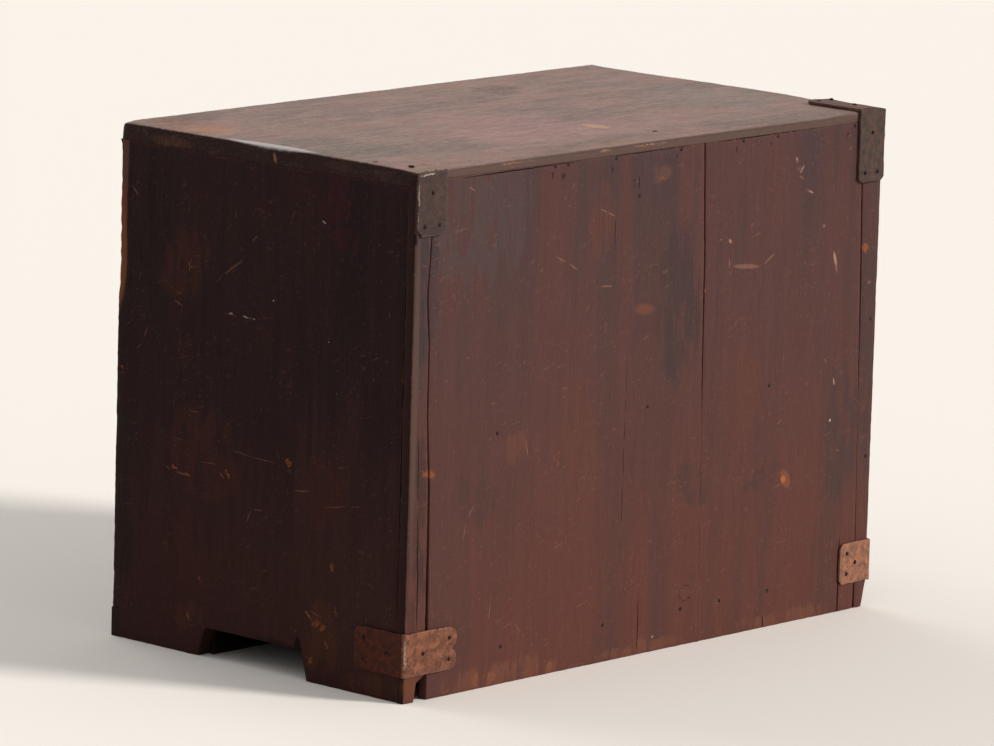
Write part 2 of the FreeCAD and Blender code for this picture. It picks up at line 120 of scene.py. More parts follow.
def calc(tree, operation, *values):
    """The outcome of one sum on numbers."""
    return put(tree, "Math", enumerate(values), operation=operation)[0]


def times(tree, one, other, plus=0.0):
    """One value times another, plus a third."""
    return calc(tree, "MULTIPLY_ADD", one, other, plus)


def lay_floor():
    """One large square at height 0."""
    side = np.array([-0.5, 0.5]) * FLOOR_SIZE
    x, y = np.meshgrid(side, side, indexing="ij")
    points = np.stack([x.ravel(), y.ravel(), np.zeros(4)], 1)
    mesh = bpy.data.meshes.new("floor")
    mesh.from_pydata(points.tolist(), [], [(0, 2, 3, 1)])
    floor = bpy.data.objects.new("floor", mesh)
    bpy.context.scene.collection.objects.link(floor)
    paint = bpy.data.materials.new("floor")
    paint.use_nodes = True
    wire(paint.node_tree, paint.node_tree.nodes["Principled BSDF"],
         {"Base Color": FLOOR_COLOUR, "Roughness": 0.85, "Specular IOR Level": 0.1})
    mesh.materials.append(paint)


lay_floor()


def surround(seen_strength, light_strength):
    """White to the camera and to gloss, a weaker even light to everything else."""
    world = bpy.data.worlds.new("surround")
    world.use_nodes = True
    bpy.context.scene.world = world
    tree = world.node_tree
    path = put(tree, "LightPath")
    mirrored = calc(tree, "MAXIMUM", path["Is Glossy Ray"], path["Is Transmission Ray"])
    share = calc(tree, "MAXIMUM", path["Is Camera Ray"], mirrored)
    strength = put(tree, "MapRange", {"Value": share, "To Min": light_strength, "To Max": seen_strength})[0]
    wire(tree, tree.nodes["Background"], {"Color": (1.0, 0.985, 0.96, 1.0), "Strength": strength})


surround(seen_strength=0.92, light_strength=0.42)


def lamp(name, heading, strength, softness, colour):
    """A far soft lamp whose light travels along heading."""
    data = bpy.data.lights.new(name, "SUN")
    data.energy = strength
    data.angle = math.radians(softness)
    data.color = colour
    item = bpy.data.objects.new(name, data)
    item.rotation_euler = Vector(heading).to_track_quat("-Z", "Y").to_euler()
    bpy.context.scene.collection.objects.link(item)


lamp("key", (0.476, -0.879, -0.50), 2.9, 12.0, (1.0, 0.97, 0.92))
lamp("fill", (0.0, 1.0, -0.35), 1.4, 60.0, (1.0, 0.98, 0.96))
bpy.context.scene.view_settings.view_transform = "Standard"

# --- The side boards ---
# Two upright softwood boards, 12 mm thick, coloured nearly black outside: a dark stain deepened with
# painted shade. Each is sawn out at the foot into two feet and notched in front for the plinth rail;
# shelves sit in grooves inside and the top is nailed on.
top_low, top_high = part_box("top_board")
FRONT_Y = side_low[1]
SIDE_T = side_high[0] - side_low[0]
ARRIS = 0.0009
GRID_STEP = 0.003
ROUND_STEPS = 3
LATTICE = 32
RIM_REACH = 0.008
SHARP_ANGLE = math.radians(42)


def stations(length, arris, step, also):
    """Places from one edge to the other and how deep under the face each one lies.

    At both edges the place stands still while the depth goes from the middle of the board to the arris, and
    a quarter round, arris times (1 - cos, 1 - sin), leads onto the face; between the edges steps are even.
    """
    turn = np.linspace(0, np.pi / 2, ROUND_STEPS + 1)
    inset = np.concatenate([[0.0], arris * (1 - np.cos(turn))])
    depth = np.concatenate([[np.inf], arris * (1 - np.sin(turn))])
    count = max(2, round((length - 2 * arris) / step))
    inner = np.linspace(arris, length - arris, count + 1)[1:-1]
    inner = np.unique(np.round(np.concatenate([inner, also]), 7))
    place = np.concatenate([inset, inner, length - inset[::-1]])
    return place, np.concatenate([depth, np.zeros(len(inner)), depth[::-1]])


def fading(distance, reach):
    """1 at no distance, falling evenly to 0 at reach."""
    return np.clip(1 - distance / reach, 0, 1)


def bell(distance, reach):
    """A bell curve, exp(-(distance / reach) squared)."""
    return np.exp(-(distance / reach) ** 2)


def to_faces(points, size):
    """Distances of a plank's points to its three low faces and to its three high ones."""
    return points - (0, 0, -size[2] / 2), (size[0], size[1], size[2] / 2) - points


def rim_distance(points, size):
    """Distance to a plank's nearest arris: the second smallest of those to its pairs of faces."""
    return np.sort(np.minimum(*to_faces(points, size)), axis=1)[:, 1]


def plank(size, arris=ARRIS, step=GRID_STEP, also_along=(), also_across=()):
    """Two sheets over one grid of (along, across) stations, their height half the thickness less the depth.

    The sheets meet in the middle of the board's edge, where both heights are 0, so the surface is closed.
    Returns the points, the faces and the points' distance to the nearest arris.
    """
    along, under_along = stations(size[0], arris, step, also_along)
    across, under_across = stations(size[1], arris, step, also_across)
    s, p = np.meshgrid(along, across, indexing="ij")
    height = np.maximum(size[2] / 2 - np.maximum.outer(under_along, under_across), 0.0)
    points = np.concatenate([np.stack([s, p, side * height], -1).reshape(-1, 3) for side in (1, -1)])
    row, column = np.meshgrid(np.arange(len(along) - 1), np.arange(len(across) - 1), indexing="ij")
    first = (row * len(across) + column).ravel()
    upper = np.stack([first, first + len(across), first + len(across) + 1, first + 1], 1)
    faces = np.concatenate([upper, upper[:, ::-1] + len(along) * len(across)])
    return points, faces, rim_distance(points, size)


def cloud(points, cell, seed):
    """Smooth noise from 0 to 1: random numbers on a cubic lattice, blended by 3t^2 - 2t^3."""
    lattice = points / cell
    base = np.floor(lattice).astype(int)
    share = lattice - base
    share = share * share * (3 - 2 * share)
    values = np.random.default_rng(seed).random((LATTICE,) * 3)
    total = np.zeros(len(points))
    for corner in np.ndindex(2, 2, 2):
        picked = (base + corner) % LATTICE
        weight = np.where(np.array(corner) == 1, share, 1 - share).prod(1)
        total += weight * values[picked[:, 0], picked[:, 1], picked[:, 2]]
    return total


def rubbed(points, size, reach, depth, seed):
    """Arrises rubbed back: each point moves inwards from its near faces by noise squared times depth.

    The move fades as a bell curve of the distance to the arris and to each face, reach wide.
    """
    to_low, to_high = to_faces(points, size)
    near = bell(np.minimum(to_low, to_high), reach)
    inward = np.where(to_low < to_high, 1.0, -1.0)
    amount = depth * bell(rim_distance(points, size), reach) * (0.25 + 0.75 * cloud(points, 0.014, seed))
    amount = amount * cloud(points, 0.004, seed + 1)
    return points + inward * near * amount[:, None]


def make_piece(made, node, points, faces, paint, slot_name, rim=None, body="case"):
    """The finished mesh of one modelled piece: seams merged, faces outwards, its rim distance kept."""
    mesh = bpy.data.meshes.new(f"{made}_{node}")
    mesh.from_pydata(points.tolist(), [], faces.tolist())
    if rim is not None:
        kept = mesh.attributes.new("rim", "FLOAT", "POINT")
        kept.data.foreach_set("value", fading(rim, RIM_REACH).astype(np.float32))
    work = bmesh.new()
    work.from_mesh(mesh)
    bmesh.ops.remove_doubles(work, verts=work.verts, dist=2e-6)
    bmesh.ops.recalc_face_normals(work, faces=work.faces)
    work.to_mesh(mesh)
    work.free()
    mesh.shade_smooth()
    mesh.materials.append(paint)
    mesh.set_sharp_from_angle(angle=SHARP_ANGLE)
    piece = bpy.data.objects.new(mesh.name, mesh)
    bpy.context.scene.collection.objects.link(piece)
    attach(piece, body)
    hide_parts(node)


def seen(red, green, blue):
    """A colour given as a screen shows it, 0 to 255, as the shader's linear values."""
    share = np.array([red, green, blue]) / 255
    linear = np.where(share > 0.04045, ((share + 0.055) / 1.055) ** 2.4, share / 12.92)
    return (*linear.tolist(), 1.0)


def calc_vector(tree, operation, *values):
    """The outcome of one sum on vectors."""
    return put(tree, "VectorMath", enumerate(values), operation=operation)[0]


def scaled(tree, vector, scale):
    """A vector times a number."""
    return put(tree, "VectorMath", {0: vector, 3: scale}, operation="SCALE")[0]


def dot(tree, one, other):
    """The dot product of two vectors."""
    return put(tree, "VectorMath", {0: one, 1: other}, operation="DOT_PRODUCT")["Value"]


def shares(tree, one, one_share, other, other_share):
    """One value times its share plus another times its own."""
    return times(tree, one, one_share, times(tree, other, other_share))


def spread_out(tree, value, low, high, to_low=0.0, to_high=1.0):
    """The value mapped smoothly from low..high to to_low..to_high, and held there beyond."""
    return put(tree, "MapRange", {"Value": value, "From Min": low, "From Max": high, "To Min": to_low,
                                  "To Max": to_high}, interpolation_type="SMOOTHSTEP")[0]


def tint(tree, share, base, over, blend_type="MIX"):
    """The base colour with a share of another over it."""
    return put(tree, "Mix", {0: share, 6: base, 7: over}, data_type="RGBA", blend_type=blend_type,
               clamp_factor=True)[2]


def raw_noise(tree, where, scale, detail, distortion=0.0):
    """Blender's noise as it comes, with scale features to a unit of where."""
    return put(tree, "TexNoise", {"Vector": where, "Scale": scale, "Detail": detail,
                                  "Distortion": distortion})


def noise(tree, where, size, detail, distortion=0.0):
    """Blender's noise with features of about size, in the units of where, spread out to 0..1."""
    return spread_out(tree, raw_noise(tree, where, 1 / size, detail, distortion)["Fac"], 0.28, 0.72)


ORIGIN = (0, 0, 0)


def new_group(name, inputs):
    """An empty node group and its input sockets; inputs gives their names and defaults."""
    tree = bpy.data.node_groups.new(name, "ShaderNodeTree")
    for label, value in inputs.items():
        kind = "NodeSocketVector" if isinstance(value, tuple) else "NodeSocketFloat"
        tree.interface.new_socket(label, in_out="INPUT", socket_type=kind).default_value = value
    return tree, tree.nodes.new("NodeGroupInput").outputs


def give_out(tree, **values):
    """The finished group: each value goes to an output of its name."""
    for label in values:
        tree.interface.new_socket(label, in_out="OUTPUT", socket_type="NodeSocketFloat")
    wire(tree, tree.nodes.new("NodeGroupOutput"), values)
    return tree


def make_grain():
    """Straight softwood grain along Z: broad figure, fine fibre and short dark pores, places in mm."""
    tree, given = new_group("grain", {"Place": ORIGIN, "Stretch": 14.0, "Figure size": 34.0})
    squeeze = put(tree, "CombineXYZ", {0: 1.0, 1: 1.0, 2: calc(tree, "DIVIDE", 1.0, given["Stretch"])})[0]
    along = calc_vector(tree, "MULTIPLY", given["Place"], squeeze)
    per_figure = calc(tree, "DIVIDE", 1.0, given["Figure size"])
    figure = noise(tree, scaled(tree, along, per_figure), 1.0, 4.0, 0.4)
    fibre = noise(tree, along, 1.3, 3.0, 0.2)
    rings = noise(tree, along, 5.5, 2.0, 0.6)
    short = calc_vector(tree, "MULTIPLY", given["Place"], (1.0, 1.0, 0.09))
    pores = spread_out(tree, raw_noise(tree, short, 1.5, 1.0)["Fac"], 0.34, 0.27)
    both = shares(tree, rings, 0.45, fibre, 0.55)
    height = times(tree, pores, -0.8, both)
    return give_out(tree, Figure=figure, Fibre=both, Pores=pores, Height=height)


def make_scratches(name, slants, draw, scale, detail, least, soft, patch_detail, patch_edge):
    """Marks on three slants: noise drawn out along a line, kept where it peaks and a patch allows.

    slants are pairs of a turn and a shift. least is the level that counts as a peak at an amount of 0 and
    of 1, and soft is how far above it a mark is whole; with no soft its edge is sharp.
    """
    tree, given = new_group(name, {"Place": ORIGIN, "Amount": 0.5})
    low = spread_out(tree, given["Amount"], 0.0, 1.0, *least)
    total = 0.0
    for slant, shift in slants:
        turned = put(tree, "Mapping", {"Vector": given["Place"], "Rotation": slant,
                                       "Location": (shift, shift, shift)})[0]
        drawn = calc_vector(tree, "MULTIPLY", turned, (1.0, 1.0, draw))
        mark = raw_noise(tree, drawn, scale, detail)["Fac"]
        mark = (spread_out(tree, mark, low, calc(tree, "ADD", low, soft)) if soft
                else calc(tree, "GREATER_THAN", mark, low))
        patch = spread_out(tree, raw_noise(tree, turned, 0.03, patch_detail)["Fac"], *patch_edge)
        total = calc(tree, "MAXIMUM", total, times(tree, mark, patch))
    return give_out(tree, Mask=total)


SPECK_CELL = 9.0


def make_specks():
    """Small round specks: the nearest random point of a 9 mm lattice, kept in a few of its cells."""
    tree, given = new_group("specks", {"Place": ORIGIN, "Radius": 0.5})
    cells = put(tree, "TexVoronoi", {"Vector": given["Place"], "Scale": 1 / SPECK_CELL, "Randomness": 1.0})
    away = times(tree, cells["Distance"], SPECK_CELL)
    pick = put(tree, "SeparateColor", {"Color": cells["Color"]})[0]
    size = times(tree, given["Radius"], spread_out(tree, pick, 0.5, 1.0, 0.0, 1.6))
    return give_out(tree, Mask=calc(tree, "LESS_THAN", away, size))


def make_mark():
    """One mark, an ellipse about a line through Centre: 1 inside, fading out at its edge; places in mm."""
    tree, given = new_group("mark", {"Place": ORIGIN, "Centre": ORIGIN, "Along": (0, 0, 1),
                                     "Half length": 10.0, "Half width": 1.0, "Softness": 0.45})
    offset = calc_vector(tree, "SUBTRACT", given["Place"], given["Centre"])
    along = dot(tree, offset, given["Along"])
    beside = calc(tree, "SUBTRACT", dot(tree, offset, offset), times(tree, along, along))
    along_share = calc(tree, "POWER", calc(tree, "DIVIDE", along, given["Half length"]), 2.0)
    beside_share = calc(tree, "DIVIDE", beside, calc(tree, "POWER", given["Half width"], 2.0))
    reach = calc(tree, "ADD", along_share, beside_share)
    inner = calc(tree, "SUBTRACT", 1.0, given["Softness"])
    return give_out(tree, Mask=spread_out(tree, reach, 1.0, inner))


batten_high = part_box("foot_batten")[1]
FOOT_TOP = batten_high[2]


def make_inside():
    """1 in the drawers' bays: between the side boards, behind the front edges, from the bottom board up."""
    tree, given = new_group("inside", {"Place": ORIGIN})
    x, y, z = put(tree, "SeparateXYZ", {"Vector": given["Place"]})
    edge = raw_noise(tree, given["Place"], 0.12, 2.0)["Fac"]
    stain_line = times(tree, edge, 9.0, FRONT_Y * 1000 + 4.0)
    mask = calc(tree, "LESS_THAN", calc(tree, "ABSOLUTE", x), (RIGHT_X - SIDE_T) * 1000 + 0.4)
    for part in (calc(tree, "GREATER_THAN", y, stain_line),
                 calc(tree, "LESS_THAN", y, wide_low[1] * 1000 + 0.4),
                 calc(tree, "GREATER_THAN", z, FOOT_TOP * 1000 + 1.0),
                 calc(tree, "LESS_THAN", z, top_low[2] * 1000 + 0.4)):
        mask = times(tree, mask, part)
    return give_out(tree, Mask=mask)


def make_edges():
    """Rim of a box: 1 at its arrises, 0 at 8 mm in, from the middle one of the distances to its faces."""
    tree, given = new_group("edges", {"Place": ORIGIN, "Centre": ORIGIN, "Half": (10, 10, 10)})
    offset = calc_vector(tree, "SUBTRACT", given["Place"], given["Centre"])
    inward = calc_vector(tree, "SUBTRACT", given["Half"], calc_vector(tree, "ABSOLUTE", offset))
    x, y, z = put(tree, "SeparateXYZ", {"Vector": inward})
    greater = calc(tree, "MINIMUM", calc(tree, "MAXIMUM", x, y), z)
    middle = calc(tree, "MAXIMUM", calc(tree, "MINIMUM", x, y), greater)
    return give_out(tree, Rim=put(tree, "MapRange", {"Value": middle, "From Min": 0.0, "To Min": 1.0,
                                                     "From Max": RIM_REACH * 1000, "To Max": 0.0})[0])


INSIDE = make_inside()
EDGES = make_edges()
GRAIN = make_grain()
SCRATCHES = make_scratches(
    "scratches", (((0.3, 0.5, 0.2), 0.0), ((-0.9, 0.6, -0.7), 310.0), ((1.3, -0.4, 1.1), 740.0)),
    draw=0.03, scale=1.1, detail=0.0, least=(0.80, 0.62), soft=0.0, patch_detail=1.0,
    patch_edge=(0.45, 0.6))
SCUFFS = make_scratches(
    "scuffs", (((1.3, 0.15, 0.0), 90.0), ((0.8, 0.7, 0.1), 430.0), ((0.1, 1.35, 0.3), 870.0)),
    draw=0.25, scale=0.36, detail=4.0, least=(0.66, 0.54), soft=0.06, patch_detail=2.0,
    patch_edge=(0.48, 0.66))
SPECKS = make_specks()
MARK = make_mark()


def strokes(tree, place, drawn, softness=0.45):
    """The strongest of several marks, each (start, end, half width) with ends in metres, width in mm."""
    total = 0.0
    for start, end, half_width in drawn:
        start, end = Vector(start) * 1000, Vector(end) * 1000
        reach = (end - start) / 2
        mask = put(tree, "Group", {
            "Place": place, "Centre": (start + end) / 2, "Along": reach.normalized(),
            "Half length": reach.length, "Half width": half_width, "Softness": softness}, node_tree=MARK)[0]
        total = calc(tree, "MAXIMUM", total, mask)
    return total


def shaken(tree, place, size, reach):
    """Places moved about by noise, so that a mark's outline turns ragged or its line wavers."""
    push = raw_noise(tree, place, 1 / size, 3.0)["Color"]
    centred = calc_vector(tree, "SUBTRACT", push, (0.5, 0.5, 0.5))
    return calc_vector(tree, "MULTIPLY_ADD", centred, (reach, reach, reach), place)


def new_paint(name):
    """A new material, its nodes, and the place on the object in mm."""
    paint = bpy.data.materials.new(name)
    paint.use_nodes = True
    tree = paint.node_tree
    return paint, tree, scaled(tree, put(tree, "TexCoord")["Object"], 1000.0)


def finished(paint, wires, height, strength, deep=0.0003):
    """The material with its shader wired, and a relief of strength and depth deep made from height."""
    tree = paint.node_tree
    relief = put(tree, "Bump", {"Height": height, "Strength": strength, "Distance": deep})[0]
    wire(tree, tree.nodes["Principled BSDF"], {**wires, "Normal": relief})
    return paint


PORE_DARK = (0.006, 0.004, 0.004, 1.0)
SCRATCHED = (0.40, 0.27, 0.20, 1.0)


def stained_wood(name, grain_turn, deep, warm, bare, gloss, roughness, stretch=14.0, figure_size=16.0,
                 fibre_contrast=0.10, scratch_amount=0.3, scratch_strength=0.3, speck_radius=0.4,
                 scuff=None, rim_colour=None, rim_wear=1.0, box_name=None, tone=None, broad_stretch=0.25,
                 pore_strength=0.30, nick_strength=0.62, scuff_amount=0.0, scuff_strength=0.0,
                 rubs=(), nicks=(), cracks=(), stains=(), shades=(), coats=()):
    """Old stained softwood. deep and warm are the stain's two tones, bare is wood rubbed through it.

    rubs are patches worn to bare wood, nicks thin pale strokes, cracks thin dark ones, stains soft dark
    patches, shades (colour, strokes) soft mottled patches of a tone and coats (colour, softness, strokes)
    whole ones. tone is ((height in mm, colour) low, the same high), a change of tone up the board. The rim
    comes from the mesh, or from the box of the node box_name.
    """
    paint, tree, place = new_paint(name)
    turned = put(tree, "Mapping", {"Vector": place, "Rotation": grain_turn})[0]
    grain = put(tree, "Group", {"Place": turned, "Stretch": stretch, "Figure size": figure_size},
                node_tree=GRAIN)
    ragged = shaken(tree, place, 3.0, 6.0)
    wavering = shaken(tree, place, 22.0, 3.0)
    drifting = shaken(tree, place, 30.0, 26.0)
    broad = noise(tree, calc_vector(tree, "MULTIPLY", turned, (1.0, 1.0, broad_stretch)), 55.0, 3.0, 0.4)

    share = shares(tree, broad, 0.5, grain["Figure"], 0.5)
    colour = tint(tree, spread_out(tree, share, 0.2, 0.8), deep, warm)
    if tone is not None:
        (low, low_tone), (high, high_tone) = tone
        height = put(tree, "SeparateXYZ", {"Vector": place})["Z"]
        uneven = times(tree, calc(tree, "SUBTRACT", share, 0.5), 300.0, height)
        up_board = tint(tree, spread_out(tree, uneven, low, high), low_tone, high_tone)
        colour = tint(tree, 0.5, colour, up_board)
    half_long = calc_vector(tree, "MULTIPLY", turned, (1.0, 1.0, 0.25))
    mottle = times(tree, noise(tree, half_long, 9.0, 5.0, 0.5), 1.6, 0.15)
    for shade_colour, drawn in shades:
        soft = times(tree, strokes(tree, drifting, drawn, 1.0), mottle)
        colour = tint(tree, spread_out(tree, soft, 0.12, 0.95, 0.0, 0.8), colour, shade_colour)
    light = spread_out(tree, grain["Fibre"], 0.1, 0.9, 1.0 - fibre_contrast, 1.0 + fibre_contrast)
    light = put(tree, "CombineColor", {0: light, 1: light, 2: light})[0]
    colour = tint(tree, 1.0, colour, light, "MULTIPLY")
    colour = tint(tree, times(tree, grain["Pores"], pore_strength), colour, PORE_DARK)
    if stains:
        mask = times(tree, strokes(tree, ragged, stains, 1.0), 0.75)
        colour = tint(tree, mask, colour, seen(24, 15, 13))

    speckle = noise(tree, place, 1.8, 3.0)
    rim = put(tree, "Attribute", attribute_name="rim")["Fac"]
    if box_name is not None:
        low, high = (corner * 1000 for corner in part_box(box_name))
        rim = put(tree, "Group", {"Place": place, "Centre": (low + high) / 2, "Half": (high - low) / 2},
                  node_tree=EDGES)[0]
    eaten = shares(tree, noise(tree, place, 16.0, 3.0), 0.30, speckle, 0.16)
    wear = spread_out(tree, calc(tree, "SUBTRACT", rim, eaten), 0.52, 0.70, 0.0, rim_wear)
    colour = tint(tree, wear, colour, rim_colour or bare)
    coated = 0.0
    for coat_colour, softness, drawn in coats:
        coat = strokes(tree, shaken(tree, place, 5.0, 1.2), drawn, softness)
        colour = tint(tree, coat, colour, coat_colour)
        coated = calc(tree, "MAXIMUM", coated, coat)
    if rubs:
        uneven = spread_out(tree, speckle, 0.1, 0.7, 0.35, 0.9)
        rubbed_through = times(tree, strokes(tree, ragged, rubs, 0.7), uneven)
        colour = tint(tree, rubbed_through, colour, bare)
        wear = calc(tree, "MAXIMUM", wear, rubbed_through)
    scratch = put(tree, "Group", {"Place": place, "Amount": scratch_amount}, node_tree=SCRATCHES)[0]
    speck = put(tree, "Group", {"Place": place, "Radius": speck_radius}, node_tree=SPECKS)[0]
    fine = times(tree, calc(tree, "MAXIMUM", scratch, speck), scratch_strength)
    if scuff_amount > 0:
        short = put(tree, "Group", {"Place": place, "Amount": scuff_amount}, node_tree=SCUFFS)[0]
        fine = calc(tree, "MAXIMUM", fine, times(tree, short, scuff_strength))
    if nicks:
        nicked = times(tree, strokes(tree, wavering, nicks, 0.8), nick_strength)
        fine = calc(tree, "MAXIMUM", fine, nicked)
    fine = times(tree, fine, times(tree, coated, -0.8, 1.0))
    colour = tint(tree, fine, colour, scuff or tint(tree, 0.45, bare, SCRATCHED))
    height = times(tree, fine, -0.7, times(tree, wear, -0.8, grain["Height"]))
    if cracks:
        open_crack = strokes(tree, wavering, cracks)
        colour = tint(tree, times(tree, open_crack, 0.95), colour, seen(26, 11, 8))
        height = times(tree, open_crack, -3.0, height)
    raw_wood = tint(tree, 1.0, tint(tree, grain["Figure"], seen(128, 98, 70), seen(152, 120, 88)), light,
                    "MULTIPLY")
    inside = put(tree, "Group", {"Place": place}, node_tree=INSIDE)[0]
    rough = spread_out(tree, grain["Fibre"], 0.0, 1.0, roughness + 0.08, roughness - 0.06)
    rough = times(tree, wear, 0.12, rough)
    return finished(paint, {"Base Color": tint(tree, inside, colour, raw_wood),
                            "Roughness": times(tree, inside, 0.2, rough),
                            "Specular IOR Level": times(tree, coated, 0.02 - gloss, gloss)},
                    height, 0.5)


plinth_low, plinth_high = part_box("plinth_rail")
FOOT_REAR = 0.101
WALL_LEAN = 0.0007
SIDE_LENGTH = side_high[1] - side_low[1]
SIDE_HEIGHT = side_high[2]
NOTCH_FRONT = batten_high[1] - side_low[1]
NOTCH_REAR = REAR_Y - FOOT_REAR - side_low[1]
PLINTH_SEAT = plinth_high[1] - side_low[1]
SQUARE_TOP = 0.002
SPLINTER_LOW = 0.258
SPLINTER_HIGH = 0.378
SPLINTER_DEEP = 0.0016
FOOT_WALLS = (PLINTH_SEAT - WALL_LEAN, PLINTH_SEAT, NOTCH_FRONT - 0.006, NOTCH_FRONT + 0.0015,
              NOTCH_REAR - 0.003, NOTCH_REAR + 0.0025)


def make_side_board(name, outward, seed):
    """A plank with its foot line lifted over the plinth seat and the notch, fading out up the board.

    Its top edge is cut square where the top board sits on it. The front arris has lost a long splinter
    near the top: points there move back by a ragged bell curve.
    """
    size = (SIDE_LENGTH, SIDE_HEIGHT, SIDE_T)
    points, faces, rim = plank(size, also_along=FOOT_WALLS)
    points = rubbed(points, size, reach=0.0022, depth=0.0006, seed=seed)
    s, p, h = points.T
    lift = np.interp(s, FOOT_WALLS, (FOOT_TOP, 0, 0, FOOT_TOP, FOOT_TOP, 0))
    p = p + lift * fading(p, 3 * FOOT_TOP)
    h = np.where((h > 1e-4) & (p > SIDE_HEIGHT - SQUARE_TOP), SIDE_T / 2, h)
    middle = (SPLINTER_LOW + SPLINTER_HIGH) / 2
    within = np.clip(1 - (np.abs(p - middle) / (SPLINTER_HIGH - middle)) ** 6, 0, 1)
    torn = SPLINTER_DEEP * within * np.clip(h / (SIDE_T / 2), 0, 1) * bell(s, 0.004)
    s = s + torn * (0.5 + cloud(points, 0.006, seed + 2))
    x = (side_low[0] + side_high[0]) / 2 * outward + outward * h
    make_piece("worn", name, np.stack([x, side_low[1] + s, p], 1), faces, CASE_WOOD, "case_wood", rim)


def on_face(place):
    """Lays strokes on one face of the case: a row is two places in mm, and a half width.

    place turns two such numbers into a point on the face.
    """
    def lay(*rows):
        return [(place(a, b), place(c, d), half_width) for a, b, c, d, half_width in rows]
    return lay


CASE_D = (REAR_Y - FRONT_Y) * 1000
BACK_T = wide_high[1] - wide_low[1]
# places on the right side, from millimetres off the back and above the floor
side_strokes = on_face(lambda from_back, height: (RIGHT_X, REAR_Y - from_back / 1000, height / 1000))
CASE_WOOD = stained_wood(
    # deep and warm are near black: a dark stain deepened with painted shade, on both side boards alike.
    "case_wood", ORIGIN, deep=seen(31, 21, 22), warm=seen(46, 27, 25), bare=seen(112, 62, 36),
    gloss=0.03, roughness=0.55, fibre_contrast=0.03, pore_strength=0.1, scratch_amount=0.25,
    scratch_strength=0.14, speck_radius=0.35, scuff=seen(116, 78, 60), rim_colour=seen(62, 36, 28),
    rim_wear=0.4, nick_strength=0.42, scuff_amount=0.4, scuff_strength=0.15,
    tone=((0.0, seen(60, 35, 31)), (230.0, seen(31, 21, 22))),
    shades=[(seen(47, 21, 23), side_strokes((94, 374, 60, 352, 26.0), (72, 350, 66, 312, 18.0))),
            (seen(52, 28, 25), side_strokes(
                (260, 165, 150, 140, 46.0), (120, 150, 50, 138, 34.0), (260, 305, 205, 285, 38.0),
                (235, 120, 215, 30, 34.0))),
            (seen(62, 36, 26), side_strokes(
                (84, 70, 80, 0, 26.0), (70, 8, 10, 6, 15.0), (230, 40, 215, 20, 20.0))),
            (seen(34, 27, 21), side_strokes((302, 220, 296, 0, 22.0)))],
    coats=[(seen(76, 53, 46), 0.4, side_strokes((CASE_D, 460, CASE_D, 290, 10.0))),
           (seen(96, 50, 40), 0.6, side_strokes((CASE_D, 352, CASE_D, 296, 9.5))),
           (seen(100, 60, 38), 0.5, side_strokes((CASE_D, 340, CASE_D, 246, 10.0))),
           (seen(128, 116, 112), 0.6, side_strokes(
                (141, 279, 140, 278, 1.0), (93, 344, 89, 342, 0.8), (186, 263, 182, 263, 0.7),
                (172, 263, 166, 262, 0.7), (161, 262, 159, 262, 0.8), (84, 256, 83, 256, 0.7)))],
    rubs=side_strokes(
        (126, 163, 118, 158, 2.6), (96, 44, 84, 47, 2.6), (86, 40, 80, 46, 2.0), (74, 94, 76, 86, 1.6),
        (98, 12, 92, 20, 2.0), (296, 207, 298, 207, 2.6), (102, 54, 95, 49, 1.3), (82, 34, 76, 28, 1.5),
        (71, 62, 69, 52, 0.9), (214, 62, 207, 53, 1.2), (226, 34, 220, 25, 1.4), (243, 141, 236, 137, 1.5),
        (229, 137, 222, 134, 1.3), (187, 146, 181, 139, 1.7), (228, 300, 226, 290, 1.0)),
    nicks=side_strokes(
        (158, 325, 165, 319, 0.6), (170, 306, 194, 290, 0.8), (194, 291, 199, 284, 0.5),
        (290, 345, 282, 338, 0.9), (269, 244, 276, 230, 0.6), (276, 228, 285, 222, 0.5),
        (229, 298, 227, 287, 0.8), (245, 265, 233, 262, 0.7), (231, 184, 212, 184, 0.6),
        (229, 184, 222, 178, 0.6), (255, 161, 190, 161, 0.4), (190, 161, 129, 158, 0.5),
        (250, 140, 244, 136, 0.7), (245, 139, 236, 139, 0.8), (240, 136, 224, 135, 0.9),
        (193, 143, 187, 139, 0.9), (215, 147, 190, 148, 0.5), (118, 141, 98, 142, 0.7),
        (86, 132, 61, 137, 0.5), (61, 137, 44, 140, 0.5), (165, 108, 158, 120, 0.6),
        (158, 120, 144, 121, 0.5), (103, 54, 92, 46, 0.7), (99, 55, 82, 50, 0.8), (94, 344, 90, 342, 0.7),
        (181, 340, 181, 333, 0.5), (120, 356, 116, 344, 0.4), (141, 279, 140, 278, 1.0),
        (192, 263, 178, 262, 0.7), (172, 263, 159, 262, 0.7), (75, 219, 73, 219, 0.9),
        (24, 287, 24, 281, 0.5)),
    cracks=side_strokes(
        (107.6, 14, 107.6, 33, 4.2), (BACK_T * 1000 + 0.4, 352, BACK_T * 1000 + 0.4, 46, 0.7)),
    # A dark band along the top edge of the notch.
    stains=side_strokes((98, 22, 160, 24, 4.0)))
make_side_board("side_board_right", 1, 11)
make_side_board("side_board_left", -1, 23)


# --- The back ---
# Four upright boards nailed over the sides and shelves, their joints a little out of plumb: a strip at
# each edge and a wide and a narrow board between. The right strip has lost a corner at its foot.
LOST_CORNER = (0.011, 0.019)
BACK_ARRIS = 0.0006
BACK_H = wide_high[2]
LEFT_X = -RIGHT_X
